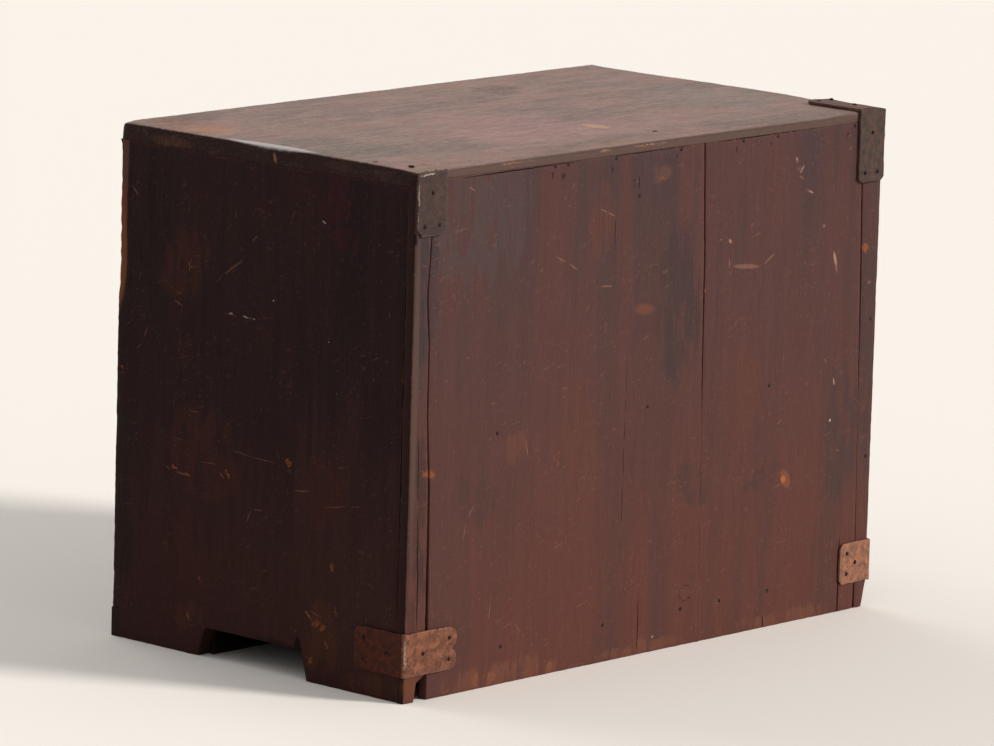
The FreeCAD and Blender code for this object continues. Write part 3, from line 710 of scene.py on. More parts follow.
# each joint's place off the right edge at these heights, and how far it stands open there, in metres
JOINT_HEIGHTS = (0.0, 0.052, 0.16, 0.21, 0.265, 0.298, 0.341, 0.385)
JOINTS = (((0.0,) * 8, None),
          ((0.0230, 0.0230, 0.0215, 0.0180, 0.0177, 0.0148, 0.0175, 0.0167),
           (0.0024, 0.0027, 0.0016, 0.0011, 0.0010, 0.0010, 0.0010, 0.0008)),
          ((0.3250, 0.3240, 0.3220, 0.3205, 0.3195, 0.3190, 0.3168, 0.3150),
           (0.0, 0.0, 0.0, 0.0006, 0.0010, 0.0011, 0.0012, 0.0012)),
          ((0.5100, 0.5092, 0.5065, 0.5055, 0.5040, 0.5030, 0.5015, 0.5000),
           (0.0016, 0.0003, 0.0, 0.0007, 0.0012, 0.0013, 0.0013, 0.0010)),
          ((0.5240,) * 8, None))
SHUT = 0.0005
WORN_FOOT = (0.005, 0.021)


def make_back_board(name, index, seed):
    """A plank whose two long edges follow uneven joints: across is laid off between them at each height.

    Where a joint is shut its arrises are filled with stain and lie flat. The right strip loses a corner
    beside its joint and the left strip's outer corner is worn off at a slant.
    """
    (right_line, right_gap), (left_line, left_gap) = JOINTS[index:index + 2]
    width = left_line[0] - right_line[0]
    walls = (LOST_CORNER[1] - 0.005, LOST_CORNER[1], WORN_FOOT[1])
    size = (BACK_H, width, BACK_T)
    points, faces, rim = plank(size, BACK_ARRIS, also_along=walls)
    points = rubbed(points, size, reach=0.0016, depth=0.0004, seed=seed)
    s, p, h = points.T
    right, left = np.interp(s, JOINT_HEIGHTS, right_line), np.interp(s, JOINT_HEIGHTS, left_line)
    for gap, edge, sign in ((right_gap, 0.0, 1), (left_gap, width, -1)):
        if gap is not None:
            opening = np.interp(s, JOINT_HEIGHTS, gap)
            shut = fading(opening, SHUT) * (np.abs(p - edge) < 2 * BACK_ARRIS) * (h > 0)
            h = h + (BACK_T / 2 - h) * shut
            right, left = right + opening / 2 * (sign > 0), left - opening / 2 * (sign < 0)
    if index == 0:
        left = left - np.interp(s, (0, walls[0], walls[1]), (LOST_CORNER[0], LOST_CORNER[0] - 0.0025, 0))
    if index == len(JOINTS) - 2:
        left = left - np.interp(s, (0, WORN_FOOT[1]), (WORN_FOOT[0], 0))
    across = right + (left - right) * p / width
    hollow = 0.0003 * (cloud(points * (0.2, 1, 1), 0.05, seed + 3) - 0.5) * (h > 0)
    placed = np.stack([RIGHT_X - across, REAR_Y - BACK_T / 2 + h + np.minimum(hollow, 0), s], 1)
    make_piece("worn", name, placed, faces, BACK_WOOD, "back_wood", rim)


# places on the back, from millimetres off the right edge and above the floor
back_strokes = on_face(lambda from_right, height: (RIGHT_X - from_right / 1000, REAR_Y, height / 1000))


def ring_strokes(from_right, height, radius, half_width, arcs):
    """Short strokes one after another round a circle, the last of them left out."""
    turn = np.linspace(0.4, 0.4 + 2 * np.pi, arcs + 1)
    u, z = from_right + radius * np.cos(turn), height + radius * np.sin(turn)
    return back_strokes(*[(u[i], z[i], u[i + 1], z[i + 1], half_width) for i in range(arcs - 1)])


STRIP_Y = REAR_Y - BACK_T / 2
BACK_WOOD = stained_wood(
    "back_wood", ORIGIN, deep=seen(61, 46, 46), warm=seen(86, 48, 41), bare=seen(136, 74, 44),
    gloss=0.08, roughness=0.5, stretch=12.0, figure_size=20.0, fibre_contrast=0.04, scratch_amount=0.25,
    scratch_strength=0.20, speck_radius=0.35, scuff=seen(138, 98, 82), rim_colour=seen(92, 56, 44),
    rim_wear=0.2, pore_strength=0.2, nick_strength=0.45, scuff_amount=0.35, scuff_strength=0.22,
    # Grey-violet towards the top: partly the wood's tone, partly painted sheen.
    broad_stretch=0.10, tone=((20.0, seen(91, 53, 44)), (360.0, seen(70, 53, 54))),
    shades=[(seen(60, 46, 46), back_strokes((290, 345, 292, 180, 34.0))),
            # The grey-violet shades at the upper left are partly painted sheen.
            (seen(72, 57, 57), back_strokes((60, 405, 95, 290, 62.0), (30, 405, 40, 300, 50.0))),
            (seen(55, 45, 47), back_strokes((7, 420, 8, 210, 24.0))),
            (seen(61, 41, 37), back_strokes((8, 240, 8, 20, 18.0))),
            (seen(66, 49, 48), back_strokes((515, 345, 515, 40, 18.0), (480, 220, 490, 60, 26.0))),
            (seen(70, 48, 44), back_strokes(
                (325, 140, 300, 106, 30.0), (68, 170, 74, 112, 32.0), (390, 130, 398, 108, 26.0))),
            (seen(84, 51, 44), back_strokes(
                (175, 250, 180, 60, 38.0), (365, 230, 372, 140, 30.0), (205, 372, 200, 300, 18.0),
                (440, 150, 445, 60, 26.0))),
            (seen(91, 56, 47), back_strokes((94, 178, 132, 178, 20.0))),
            (seen(88, 60, 54), back_strokes((250, 366, 284, 361, 9.0))),
            (seen(100, 62, 49), back_strokes(
                (340, 4, 500, 5, 12.0), (190, 3, 330, 3, 9.0), (26, 6, 190, 5, 16.0))),
            (seen(114, 68, 48), back_strokes(
                (70, 8, 100, 8, 7.0), (150, 8, 166, 5, 6.0), (410, 116, 430, 112, 8.0)))],
    # The strips' outer edge faces take the sides' near-black: dark stain with painted shade.
    coats=[(seen(41, 27, 25), 0.3, [((side, STRIP_Y, -0.5), (side, STRIP_Y, 0.9), BACK_T * 500 - 0.1)
                                    for side in (RIGHT_X, LEFT_X)]),
           (seen(30, 18, 15), 0.5, back_strokes(
                (36, 382.4, 188, 383.2, 0.6), (196, 383.2, 306, 383.5, 0.4),
                (316, 383.4, 502, 384.4, 0.7))),
           (seen(100, 65, 54), 1.0, back_strokes((238, 266, 266, 263, 5.5))),
           (seen(152, 90, 64), 0.8, back_strokes((416, 115, 423, 113, 3.6))),
           (seen(82, 64, 58), 0.9, back_strokes((4, 395, 4, 64, 3.8))),
           (seen(96, 60, 44), 0.9, back_strokes((7, 24, 7, 0, 9.0))),
           (seen(150, 116, 100), 0.9, back_strokes(
                (432, 357, 426, 350, 0.9), (437, 337, 444, 333, 0.8), (346, 308, 349, 304, 1.4),
                (475, 187, 477, 180, 1.1), (272, 12, 274, 11, 1.4), (470, 287, 474, 273, 1.9),
                (318, 272, 321, 271, 0.9), (421, 364, 424, 360, 0.9))),
           (seen(190, 166, 150), 0.6, back_strokes((472, 154, 474, 153, 1.3)))],
    rubs=back_strokes((13, 168, 29, 168, 3.4), (503, 285, 513, 284, 4.2), (262, 363, 275, 361, 0.9)),
    nicks=back_strokes(
        (347, 294, 348, 284, 1.0), (348, 287, 386, 283, 2.4), (386, 283, 401, 292, 1.1),
        (345, 308, 350, 304, 1.8), (334, 308, 340, 309, 1.0), (470, 288, 476, 266, 1.8),
        (421, 363, 424, 358, 1.4), (428, 356, 423, 352, 1.0), (425, 349, 432, 345, 0.9),
        (433, 339, 443, 333, 0.9), (455, 308, 460, 307, 1.8), (512, 258, 517, 257, 1.6),
        (472, 154, 474, 153, 1.4), (475, 186, 477, 180, 1.0), (463, 203, 467, 199, 0.8),
        (443, 187, 444, 184, 0.9), (198, 345, 207, 342, 0.8), (207, 342, 216, 338, 0.9),
        (200, 287, 218, 286, 0.9), (150, 314, 164, 309, 0.7), (164, 309, 180, 300, 0.8),
        (55, 376, 63, 371, 0.8), (59, 112, 63, 129, 0.6), (63, 129, 71, 141, 0.6), (91, 64, 89, 48, 0.6),
        (124, 183, 127, 167, 0.9), (318, 272, 322, 270, 0.9), (271, 11, 274, 11, 1.4)),
    cracks=back_strokes(
        (234.5, 240, 232.5, 62, 0.4), (255.4, 48, 255.4, -6, 0.7), (9.2, 206, 10.0, 140, 0.5),
        (9.8, 145, 13, 46, 0.9), (400, 12, 400.5, -4, 0.8), (489.8, 66, 490.4, -50, 1.3),
        (216, 342, 217, 296, 0.4), (241, 367, 242, 355, 0.6), (0.5, 347, 1, 337, 1.6)),
    stains=ring_strokes(308.5, 40, 6.5, 1.3, 9) + back_strokes(
        (144, 379, 145, 372, 2.0), (158, 377, 156, 370, 2.2), (209, 378, 211, 370, 1.8),
        (236, 366, 236, 357, 1.8), (282, 379, 284, 374, 1.8), (352, 378, 351, 373, 1.6),
        (391, 378, 392, 374, 1.5), (482, 378, 481, 371, 1.8)))
for index, board_name in enumerate(("back_strip_right", "back_board_wide", "back_board_narrow",
                                    "back_strip_left")):
    make_back_board(board_name, index, 31 + 7 * index)


# --- Shelves, divider, bottom and base ---
# Thin boards housed in the sides, stained only along their front edges, with a plinth rail across the
# front feet and a batten behind them. They keep their modelled shape; their arrises are eased a little.
EASED = 0.0007


def eased(node, paint, width=EASED):
    """A modelled piece with its loose triangles joined and its arrises softened, in its own finish."""
    thing = frame["nodes"][node]
    thing.data.materials.clear()
    thing.data.materials.append(paint)
    joined = thing.modifiers.new("joined", "WELD")
    joined.merge_threshold = 1e-6
    soft = thing.modifiers.new("eased", "BEVEL")
    soft.width = width
    soft.segments = 2
    soft.limit_method = "ANGLE"
    soft.angle_limit = math.radians(35)
    soft.harden_normals = True


ALONG_X = (0, -math.pi / 2, 0)
ALONG_Y = (math.pi / 2, 0, 0)
STAIN = {"deep": seen(44, 31, 29), "warm": seen(72, 42, 36), "bare": seen(158, 96, 58)}
for node in ("middle_shelf", "upper_shelf"):
    eased(node, stained_wood("rail_" + node, ALONG_X, gloss=0.2, roughness=0.5, box_name=node,
                             rim_colour=seen(104, 62, 42), **STAIN))
# the plinth rail's ends take the sides' near-black, dark stain with painted shade, and what lies under the
# case is near black, painted shade
plinth_y = (plinth_low[1] + plinth_high[1]) / 2
END_STAIN_AND_SHADE = (seen(44, 31, 27), 0.3,
             [((x, plinth_y, -0.2), (x, plinth_y, 0.2), 11.0) for x in (RIGHT_X, LEFT_X)])
eased("plinth_rail", stained_wood("rail_plinth_rail", ALONG_X, gloss=0.2, roughness=0.5,
                                  box_name="plinth_rail", rim_colour=seen(84, 52, 38), coats=[END_STAIN_AND_SHADE],
                                  **STAIN))
# Near black as painted shade: these pieces lie under the case, where the light does not reach.
for node in ("bottom_board", "foot_batten"):
    eased(node, stained_wood("sooty_" + node, ALONG_X, deep=seen(20, 14, 13), warm=seen(34, 23, 19),
                             bare=seen(40, 28, 22), gloss=0.03, roughness=0.6, box_name=node))
eased("top_divider", stained_wood("rail_top_divider", ALONG_Y, gloss=0.2, roughness=0.5,
                                  box_name="top_divider", rim_colour=seen(104, 62, 42), **STAIN))


# --- The top ---
# One wide board, 13 mm thick, nailed down over the sides, its grain along the chest. Its surface is dry
# and greyed, its arrises are rubbed round, and its rear edge is rebated over the back boards.
LID_Z = top_high[2]
TOP_T = top_high[2] - top_low[2]
TOP_W = top_high[0] - top_low[0]
TOP_D = top_high[1] - top_low[1]
TOP_ARRIS = 0.0016
REBATE = BACK_H - top_low[2]
CORNER_ROUND = 0.0045
CORNER_DROP = 0.0022
ROUND_REACH = 0.05
REAR_DROP = 0.003
REAR_WORN = 0.03
STRAP_DROP = 0.002
SQUARE_END = 0.003
HOLLOW = 0.0009
HOLLOW_EDGE = 0.02


def droop(x, from_back):
    """How far the top has worn down: along its rear edge up to the strap, and at the corner under it."""
    from_left = x - top_low[0]
    at_corner = STRAP_DROP * fading(from_left, 0.02) ** 2 * np.clip(1.6 - from_back / 0.06, 0, 1)
    along_rear = REAR_DROP * fading(from_back, REAR_WORN) ** 1.5 * np.clip(from_left / REAR_WORN - 1, 0, 1)
    return np.maximum(at_corner, along_rear)


def make_top():
    """A plank with its rear underside lifted by the rebate and one front corner rounded and worn down.

    Across the corner the end draws back by R - sqrt(R^2 - (R - p)^2), with p the distance from the front,
    and by less of it lower down. The lower arris of both ends is left square.
    """
    size = (TOP_W, TOP_D, TOP_T)
    points, faces, rim = plank(size, TOP_ARRIS, also_across=(TOP_D - BACK_T - 1e-4, TOP_D - BACK_T))
    points = rubbed(points, size, reach=0.003, depth=0.0008, seed=71)
    s, p, h = points.T
    inward = np.clip(CORNER_ROUND - p, 0, CORNER_ROUND)
    drawn_back = CORNER_ROUND - np.sqrt(CORNER_ROUND**2 - inward**2)
    drawn_back = drawn_back * (0.3 + 0.7 * np.clip(h / TOP_T + 0.5, 0, 1))
    h = np.where((h < -1e-4) & (np.minimum(s, TOP_W - s) < SQUARE_END), -TOP_T / 2, h)
    s = s - drawn_back * np.clip((s - TOP_W + ROUND_REACH) / ROUND_REACH, 0, 1)
    h = np.where(p > TOP_D - BACK_T - 5e-5, np.maximum(h, REBATE - TOP_T / 2), h)
    h = h - droop(top_low[0] + s, TOP_D - p) * (h > 0)
    from_corner = np.hypot(np.clip(TOP_W - s, 0, None), p * 1.6)
    h = h - CORNER_DROP * fading(from_corner, 0.016) ** 2 * (h > 0)
    hollow = HOLLOW * (cloud(points * (0.35, 1, 1), 0.06, 73) - 1) * (h > 0)
    hollow = hollow * np.clip(p / HOLLOW_EDGE, 0, 1) * np.clip((TOP_D - p) / HOLLOW_EDGE, 0, 1)
    placed = np.stack([top_low[0] + s, top_low[1] + p, (top_low[2] + top_high[2]) / 2 + h + hollow], 1)
    make_piece("worn", "top_board", placed, faces, TOP_WOOD, "case_wood", rim)


# places on the top, from millimetres off the right edge and off the back
top_strokes = on_face(
    lambda from_right, from_back: (RIGHT_X - from_right / 1000, REAR_Y - from_back / 1000, LID_Z))
TOP_WOOD = stained_wood(
    "top_wood", ALONG_X, deep=seen(111, 90, 83), warm=seen(133, 103, 94), bare=seen(156, 104, 72),
    gloss=0.14, roughness=0.52, stretch=4.5, broad_stretch=0.35, figure_size=14.0, fibre_contrast=0.07,
    scratch_amount=0.45, scratch_strength=0.30, speck_radius=0.40, scuff=seen(176, 148, 132),
    rim_colour=seen(104, 84, 74), rim_wear=0.25, pore_strength=0.2, nick_strength=0.5, scuff_amount=0.6,
    scuff_strength=0.25,
    shades=[(seen(142, 106, 103), top_strokes((100, 90, 340, 70, 64.0), (160, 160, 310, 130, 56.0))),
            (seen(96, 84, 76), top_strokes((20, 30, 50, 190, 60.0))),
            (seen(118, 104, 96), top_strokes((440, 40, 480, 200, 60.0))),
            (seen(98, 74, 65), top_strokes(
                (300, 240, 306, 205, 30.0), (348, 272, 362, 225, 34.0), (8, 285, 110, 292, 22.0))),
            (seen(124, 98, 76), top_strokes((4, 10, 40, 12, 18.0), (190, 18, 260, 14, 12.0))),
            (seen(112, 76, 58), top_strokes((0, 215, 40, 300, 40.0))),
            (seen(152, 104, 78), top_strokes((6, 230, 46, 250, 34.0))),
            (seen(132, 98, 80), top_strokes((268, 280, 244, 292, 24.0))),
            (seen(176, 138, 108), top_strokes((262, 68, 284, 80, 17.0)))],
    coats=[*[(colour, 0.6, [((0.5, y, LID_Z - 0.0075), (-0.5, y, LID_Z - 0.0075), 8.5)])
             for colour, y in ((seen(88, 69, 63), REAR_Y), (seen(72, 50, 43), FRONT_Y))],
           # The top's two ends take the sides' near-black: dark stain with painted shade.
           (seen(43, 30, 28), 0.3, [((x, 0.5, LID_Z - 0.0078), (x, -0.5, LID_Z - 0.0078), 7.9)
                                    for x in (RIGHT_X, LEFT_X)]),
           (seen(62, 41, 34), 1.0, side_strokes((222, 383, 278, 383, 5.0))),
           (seen(53, 36, 32), 1.0, side_strokes((58, 386, 98, 386, 4.5), (18, 386, 50, 385, 4.0))),
           (seen(112, 76, 60), 0.9, side_strokes((144, 389, 141, 379, 1.8))),
           # Pale chips along the rear arris, with a painted highlight where the rounded arris meets the
           # light.
           (seen(204, 172, 152), 0.9, back_strokes(
                (92, 389.4, 104, 389.4, 1.5), (108, 389.4, 118, 389.3, 1.3), (123, 389.4, 133, 389.4, 1.5),
                (198, 389.4, 208, 389.4, 1.6), (233, 389.3, 243, 389.4, 1.3), (248, 389.4, 262, 389.3, 1.5),
                (266, 389.3, 272, 389.4, 1.3))),
           # A pale worn streak along the right arris, with a painted reflection on its rounded edge.
           (seen(178, 170, 170), 0.6, [((RIGHT_X - 0.004, REAR_Y - 0.094, LID_Z + 0.002),
                                        (RIGHT_X - 0.006, REAR_Y - 0.208, LID_Z + 0.002), 7.0)])],
    rubs=back_strokes(
        (86, 388.9, 132, 388.9, 1.2), (194, 388.9, 214, 388.9, 1.1), (230, 388.9, 276, 388.9, 1.2)),
    nicks=back_strokes(
        (84, 389.2, 110, 389.2, 2.0), (112, 389.2, 138, 389.2, 2.2), (194, 389.2, 212, 389.2, 2.2),
        (228, 389.2, 258, 389.2, 2.2), (256, 389.1, 278, 389.1, 2.0)) + top_strokes(
        (120, 60, 180, 64, 0.8), (200, 150, 260, 160, 0.7), (90, 120, 150, 118, 0.8),
        (300, 200, 360, 190, 0.8), (180, 230, 210, 222, 0.7)),
    cracks=top_strokes((3, 49, 12, 50, 0.8)),
    stains=top_strokes((28, 22, 34, 22, 2.2)))
make_top()


# --- Iron straps ---
# Bands of thin wrought iron bent over the rear corners: one low at each side, one over the top's far
# corner, and on the near corner only the rear leg of one whose top leg has torn off. All are rusted.
BEND_ROUND = 0.6
STRAP_ARRIS = 0.0005
STRAP_RIM = 3.0
CLIPPED = 0.0035
CLEFT = 0.005
END_REACH = 0.022


def rusty_iron(name, dark, brown, orange, worn, side_leg=(0.4, 0.32, 0.3, 1.0), rubs=()):
    """Old iron: brown rust in clouds, orange bloom in patches, pitted, its arrises in the worn colour: pale
    where rubbed, and dark as painted shade along the top strap's edges.

    The legs in front of the back keep a share of each colour: below 1 it is painted shade, above 1 painted
    light. rubs are strokes rubbed to bright metal.
    """
    paint, tree, place = new_paint(name)
    broad = noise(tree, place, 6.0, 4.0, 0.6)
    bloom = noise(tree, shaken(tree, place, 9.0, 8.0), 5.0, 4.0, 0.3)
    pits = noise(tree, place, 1.1, 3.0)
    colour = tint(tree, broad, dark, brown)
    colour = tint(tree, spread_out(tree, bloom, 0.45, 0.95, 0.0, 0.85), colour, orange)
    colour = tint(tree, spread_out(tree, pits, 0.75, 1.0, 0.0, 0.5), colour, dark)
    rim = put(tree, "Attribute", attribute_name="rim")["Fac"]
    # Arrises take the worn colour: pale where rubbed, dark along the top strap's edges as painted shade.
    edge_wear_and_shade = spread_out(tree, times(tree, pits, -0.25, rim), 0.62, 0.80)
    colour = tint(tree, times(tree, edge_wear_and_shade, 0.75), colour, worn)
    # Legs in front of the back keep a share of each colour: below 1 painted shade, above 1 painted light.
    y = put(tree, "SeparateXYZ", {"Vector": place})["Y"]
    on_back = spread_out(tree, y, REAR_Y * 1000 - 1.5, REAR_Y * 1000 + 0.5)
    colour = tint(tree, 1.0, colour, tint(tree, on_back, side_leg, (1.0, 1.0, 1.0, 1.0)), "MULTIPLY")
    if rubs:
        bright = times(tree, strokes(tree, shaken(tree, place, 4.0, 2.0), rubs), pits)
        colour = tint(tree, bright, colour, seen(176, 160, 150))
    height = times(tree, broad, 0.8, times(tree, bloom, 0.5, pits))
    return finished(paint, {"Base Color": colour, "Specular IOR Level": 0.12,
                            "Roughness": times(tree, pits, 0.12, 0.62),
                            "Metallic": times(tree, bloom, -0.15, 0.18)}, height, 0.7)


def plain_end(p, width):
    """How far a plain leg's end falls short at its two clipped corners."""
    return np.clip(CLIPPED - np.minimum(p, width - p), 0, None) * 0.9


def tailed_end(p, width):
    """How far a fish tail's end falls short of its tips: two round lobes with a cleft between."""
    lobe = width / 4
    off = np.abs(np.abs(p - width / 2) - lobe)
    return np.minimum(lobe - np.sqrt(np.clip(lobe**2 - off**2, 0, None)),
                      np.where(np.abs(p - width / 2) < lobe, CLEFT, lobe))


strap_boxes = {name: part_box(name) for name in
               ("strap_low_right", "strap_low_left", "strap_top_left", "strap_top_right")}
IRON_T = strap_boxes["strap_top_right"][1][1] - REAR_Y


def make_strap(name, corner, width, first, second, paint, seed, drooping=False):
    """A flat band laid along one leg, round the corner and along the other.

    first and second are (length, direction, outward normal, end outline). Along the corner the outward
    normal turns evenly from the first to the second; the band is dented by noise and curls off at its ends.
    A drooping one follows the worn top down.
    """
    (length_1, along_1, outward_1, end_1), (length_2, along_2, outward_2, end_2) = first, second
    bend_length = IRON_T * BEND_ROUND * np.pi / 2
    total = length_1 + bend_length + length_2
    bend = tuple(length_1 + bend_length * np.linspace(0, 1, 7))
    points, faces, rim = plank((total, width, IRON_T), STRAP_ARRIS, step=0.0018, also_along=bend)
    s, p, h = points.T
    s = s + end_1(p, width) * fading(s, END_REACH) - end_2(p, width) * fading(total - s, END_REACH)
    p = p + (cloud(points, 0.005, seed) - 0.5) * 0.0008 * bell(np.minimum(p, width - p), 0.003)
    dent = (cloud(points * (1, 1, 0), 0.011, seed + 1) - 0.5) * 0.0006
    dent = dent + 0.0003 * bell(np.minimum(s, total - s), 0.006)
    share = np.clip((s - length_1) / bend_length, 0, 1)[:, None] * np.pi / 2
    outward = np.cos(share) * outward_1 + np.sin(share) * outward_2
    off = (IRON_T / 2 + h + np.clip(dent, 0, None))[:, None]
    run = (np.clip(length_1 - s, 0, None)[:, None] * along_1
           + np.clip(s - length_1 - bend_length, 0, None)[:, None] * along_2)
    across = np.cross(along_1, outward_1)
    placed = np.array(corner) + run + outward * off + across * (p - width / 2)[:, None]
    if drooping:
        over_top = np.clip((placed[:, 2] - LID_Z) / 1e-4, 0, 1)
        placed[:, 2] -= over_top * droop(placed[:, 0], REAR_Y - placed[:, 1])
    make_piece("worn", name, placed, faces, paint, "strap_iron", rim * STRAP_RIM)


X, Y, Z = np.eye(3)
low, high = strap_boxes["strap_low_right"]
outer_x, outer_y = RIGHT_X + IRON_T, REAR_Y + IRON_T
BEND_RUB = ((outer_x, outer_y, low[2] + 0.003), (outer_x, outer_y, high[2]), 1.6)
# The low straps' side legs keep little of their colour: painted shade.
LOW_RUST = rusty_iron("low_strap_iron", seen(88, 57, 45), seen(122, 78, 61), seen(138, 86, 64),
                      seen(132, 100, 84), side_leg=(0.29, 0.145, 0.105, 1.0), rubs=[BEND_RUB])
FAR_RUST = rusty_iron("far_strap_iron", seen(104, 74, 62), seen(142, 98, 78), seen(160, 104, 78),
                      seen(150, 116, 98))
# The top strap's dark worn colour is painted shade along its edges; its leg over the top is lightened as
# painted light.
TOP_RUST = rusty_iron("top_strap_iron", seen(59, 48, 45), seen(78, 63, 58), seen(84, 60, 53),
                      seen(66, 38, 31), side_leg=(1.8, 1.6, 1.55, 1.0))


def low_strap(name, corner_x, along, end, paint, seed):
    """A low strap: its rear leg runs from the case's corner along the back, the other along the side."""
    low, high = strap_boxes[name]
    rear_leg = (low[0] if along[0] < 0 else high[0]) - corner_x
    make_strap(name, (corner_x, REAR_Y, (low[2] + high[2]) / 2), high[2] - low[2],
               (abs(rear_leg), along, Y, end), (REAR_Y - low[1], -Y, -along, plain_end), paint, seed)


low_strap("strap_low_right", RIGHT_X, -X, tailed_end, LOW_RUST, 101)
low_strap("strap_low_left", LEFT_X, X, plain_end, FAR_RUST, 111)
low, high = strap_boxes["strap_top_left"]
TOP_STRAP_W = high[0] - LEFT_X
make_strap("strap_top_left", (LEFT_X + TOP_STRAP_W / 2, REAR_Y, LID_Z), TOP_STRAP_W,
           (LID_Z - low[2], -Z, Y, plain_end), (REAR_Y - low[1], -Y, Z, plain_end), TOP_RUST, 121, True)


def make_torn_leg():
    """The one leg left of the near corner's strap: a flat band with a plain lower end, torn off above.

    The tear is a ragged line, a product of two sines, about 1.5 mm under the top's arris.
    """
    low, high = strap_boxes["strap_top_right"]
    length, width = LID_Z - low[2], high[0] - low[0]
    points, faces, rim = plank((length, width, IRON_T), STRAP_ARRIS, step=0.0015)
    s, p, h = points.T
    torn = 0.0012 + 0.0008 * np.sin(p * 900.0) * np.sin(p * 377.0 + 1.0)
    s = s + torn * fading(s, 0.02)
    s = s - plain_end(p, width) * fading(length - s, 0.02)
    bite = 0.0035 * bell(s - 0.046, 0.0022) * bell(p, 0.006)
    ragged = (cloud(points, 0.004, 131) - 0.5) * 0.0012 * bell(np.minimum(p, width - p), 0.003)
    dent = np.clip((cloud(points * (1, 1, 0), 0.010, 132) - 0.5) * 0.0006, 0, None)
    placed = np.stack([high[0] - (p + bite + ragged), REAR_Y + IRON_T / 2 + h + dent, LID_Z - s], 1)
    make_piece("worn", "strap_top_right", placed, faces, TORN_RUST, "strap_iron", rim * STRAP_RIM)


low, high = strap_boxes["strap_top_right"]
TORN_RUST = rusty_iron(
    "torn_strap_iron", seen(60, 47, 44), seen(69, 54, 51), seen(74, 56, 51), seen(96, 82, 76),
    rubs=[((high[0], outer_y, low[2]), (high[0], outer_y, high[2]), 0.8),
          ((high[0], outer_y, high[2] - 0.003), (high[0] - 0.018, outer_y, high[2] - 0.002), 0.7)])
make_torn_leg()


# --- Nails ---
# Hand-cut square nails with low hammered heads, gone dark: thin ones through the back boards and the top,
# stouter ones in the straps, and two left in the top where the torn strap's leg was.
HEAD_POINTS = 10


def dark_iron(name, dark, light, roughness):
    """Forged iron with its scale on: near black, mottled, a little gloss where it is handled."""
    paint, tree, place = new_paint(name)
    mottle = noise(tree, place, 3.0, 4.0, 0.3)
    height = times(tree, noise(tree, place, 0.6, 2.0), 0.35, mottle)
    return finished(paint, {"Base Color": tint(tree, mottle, dark, light), "Metallic": 0.55,
                            "Specular IOR Level": 0.3,
                            "Roughness": times(tree, mottle, -0.18, roughness + 0.09)},
                    height, 0.5, 0.0002)


def ring_faces(rings, points_round):
    """The quads of a tube, each between one ring of points and the next."""
    row, column = np.meshgrid(np.arange(rings - 1), np.arange(points_round), indexing="ij")
    here = (row * points_round + column).ravel()
    there = (row * points_round + (column + 1) % points_round).ravel()
    return np.stack([here, there, there + points_round, here + points_round], 1)


def turned(profile, points_round):
    """A profile of (radius, height) carried round the Z axis; it starts and ends on the axis."""
    turn = np.arange(points_round) * 2 * np.pi / points_round
    radius, height = np.array(profile).T
    ring = np.stack([np.outer(radius, np.cos(turn)), np.outer(radius, np.sin(turn)),
                     np.repeat(height[:, None], points_round, 1)], -1)
    return ring.reshape(-1, 3), ring_faces(len(profile), points_round)


def joined(copies):
    """Several (points, faces) as one, each copy's corner numbers moved past the points before it."""
    starts = np.cumsum([0] + [len(points) for points, faces in copies])
    return (np.concatenate([points for points, faces in copies]),
            np.concatenate([faces + start for (points, faces), start in zip(copies, starts)]))


def nail_places(node):
    """Each modelled nail's head: its place on the surface and the axis and sign of its outward direction.

    Corners that share a triangle take the lowest of their labels until none changes, so each nail ends up
    with one label. A nail is longest along its own axis, and its head faces away from the case's middle.
    """
    mesh = frame["nodes"][node].data
    corners = np.empty(len(mesh.vertices) * 3)
    mesh.vertices.foreach_get("co", corners)
    corners, index = np.unique(np.round(corners.reshape(-1, 3), 6), axis=0, return_inverse=True)
    used = np.empty(len(mesh.loops), dtype=int)
    mesh.loops.foreach_get("vertex_index", used)
    triangles = index.ravel()[used].reshape(-1, 3)
    label, before = np.arange(len(corners)), None
    while before is None or (label != before).any():
        before = label.copy()
        np.minimum.at(label, triangles.ravel(), np.repeat(before[triangles].min(1), 3))
    found = []
    for one in np.unique(label):
        low, high = corners[label == one].min(0), corners[label == one].max(0)
        axis = int(np.argmax(high - low))
        sign = 1.0 if low[axis] + high[axis] > 0 else -1.0
        centre = (low + high) / 2
        centre[axis] = (high if sign > 0 else low)[axis]
        found.append((centre, axis, sign))
    return found


def make_nails(node, radius, modelled_height, height, paint, seed):
    """One low domed head for each modelled nail, each a little out of round and turned its own way."""
    foot = -modelled_height - 0.002
    top = height - modelled_height
    profile = [(0, top), (0.55 * radius, top - 0.05 * height), (0.85 * radius, top - 0.3 * height),
               (radius, top - height), (radius, foot), (0, foot)]
    random = np.random.default_rng(seed)
    heads = []
    for centre, axis, sign in nail_places(node):
        points, faces = turned(profile, HEAD_POINTS)
        stretch = random.uniform(0.82, 1.08, 2)
        turn = random.uniform(0, np.pi)
        x, y = points[:, 0] * stretch[0], points[:, 1] * stretch[1]
        placed = np.empty_like(points)
        placed[:, axis] = points[:, 2] * sign
        placed[:, (axis + 1) % 3] = x * np.cos(turn) - y * np.sin(turn)
        placed[:, (axis + 2) % 3] = x * np.sin(turn) + y * np.cos(turn)
        heads.append((placed + centre, faces))
    make_piece("worn", node, *joined(heads), paint, "nail_iron")


NAIL_IRON = dark_iron("nail_iron", seen(28, 18, 15), seen(46, 30, 24), 0.75)
make_nails("back_nails", 0.0016, 0.0004, 0.0002, NAIL_IRON, 141)
make_nails("strap_nails", 0.0017, 0.0008, 0.0010, NAIL_IRON, 142)
make_nails("top_nails", 0.0022, 0.0008, 0.0003, NAIL_IRON, 143)


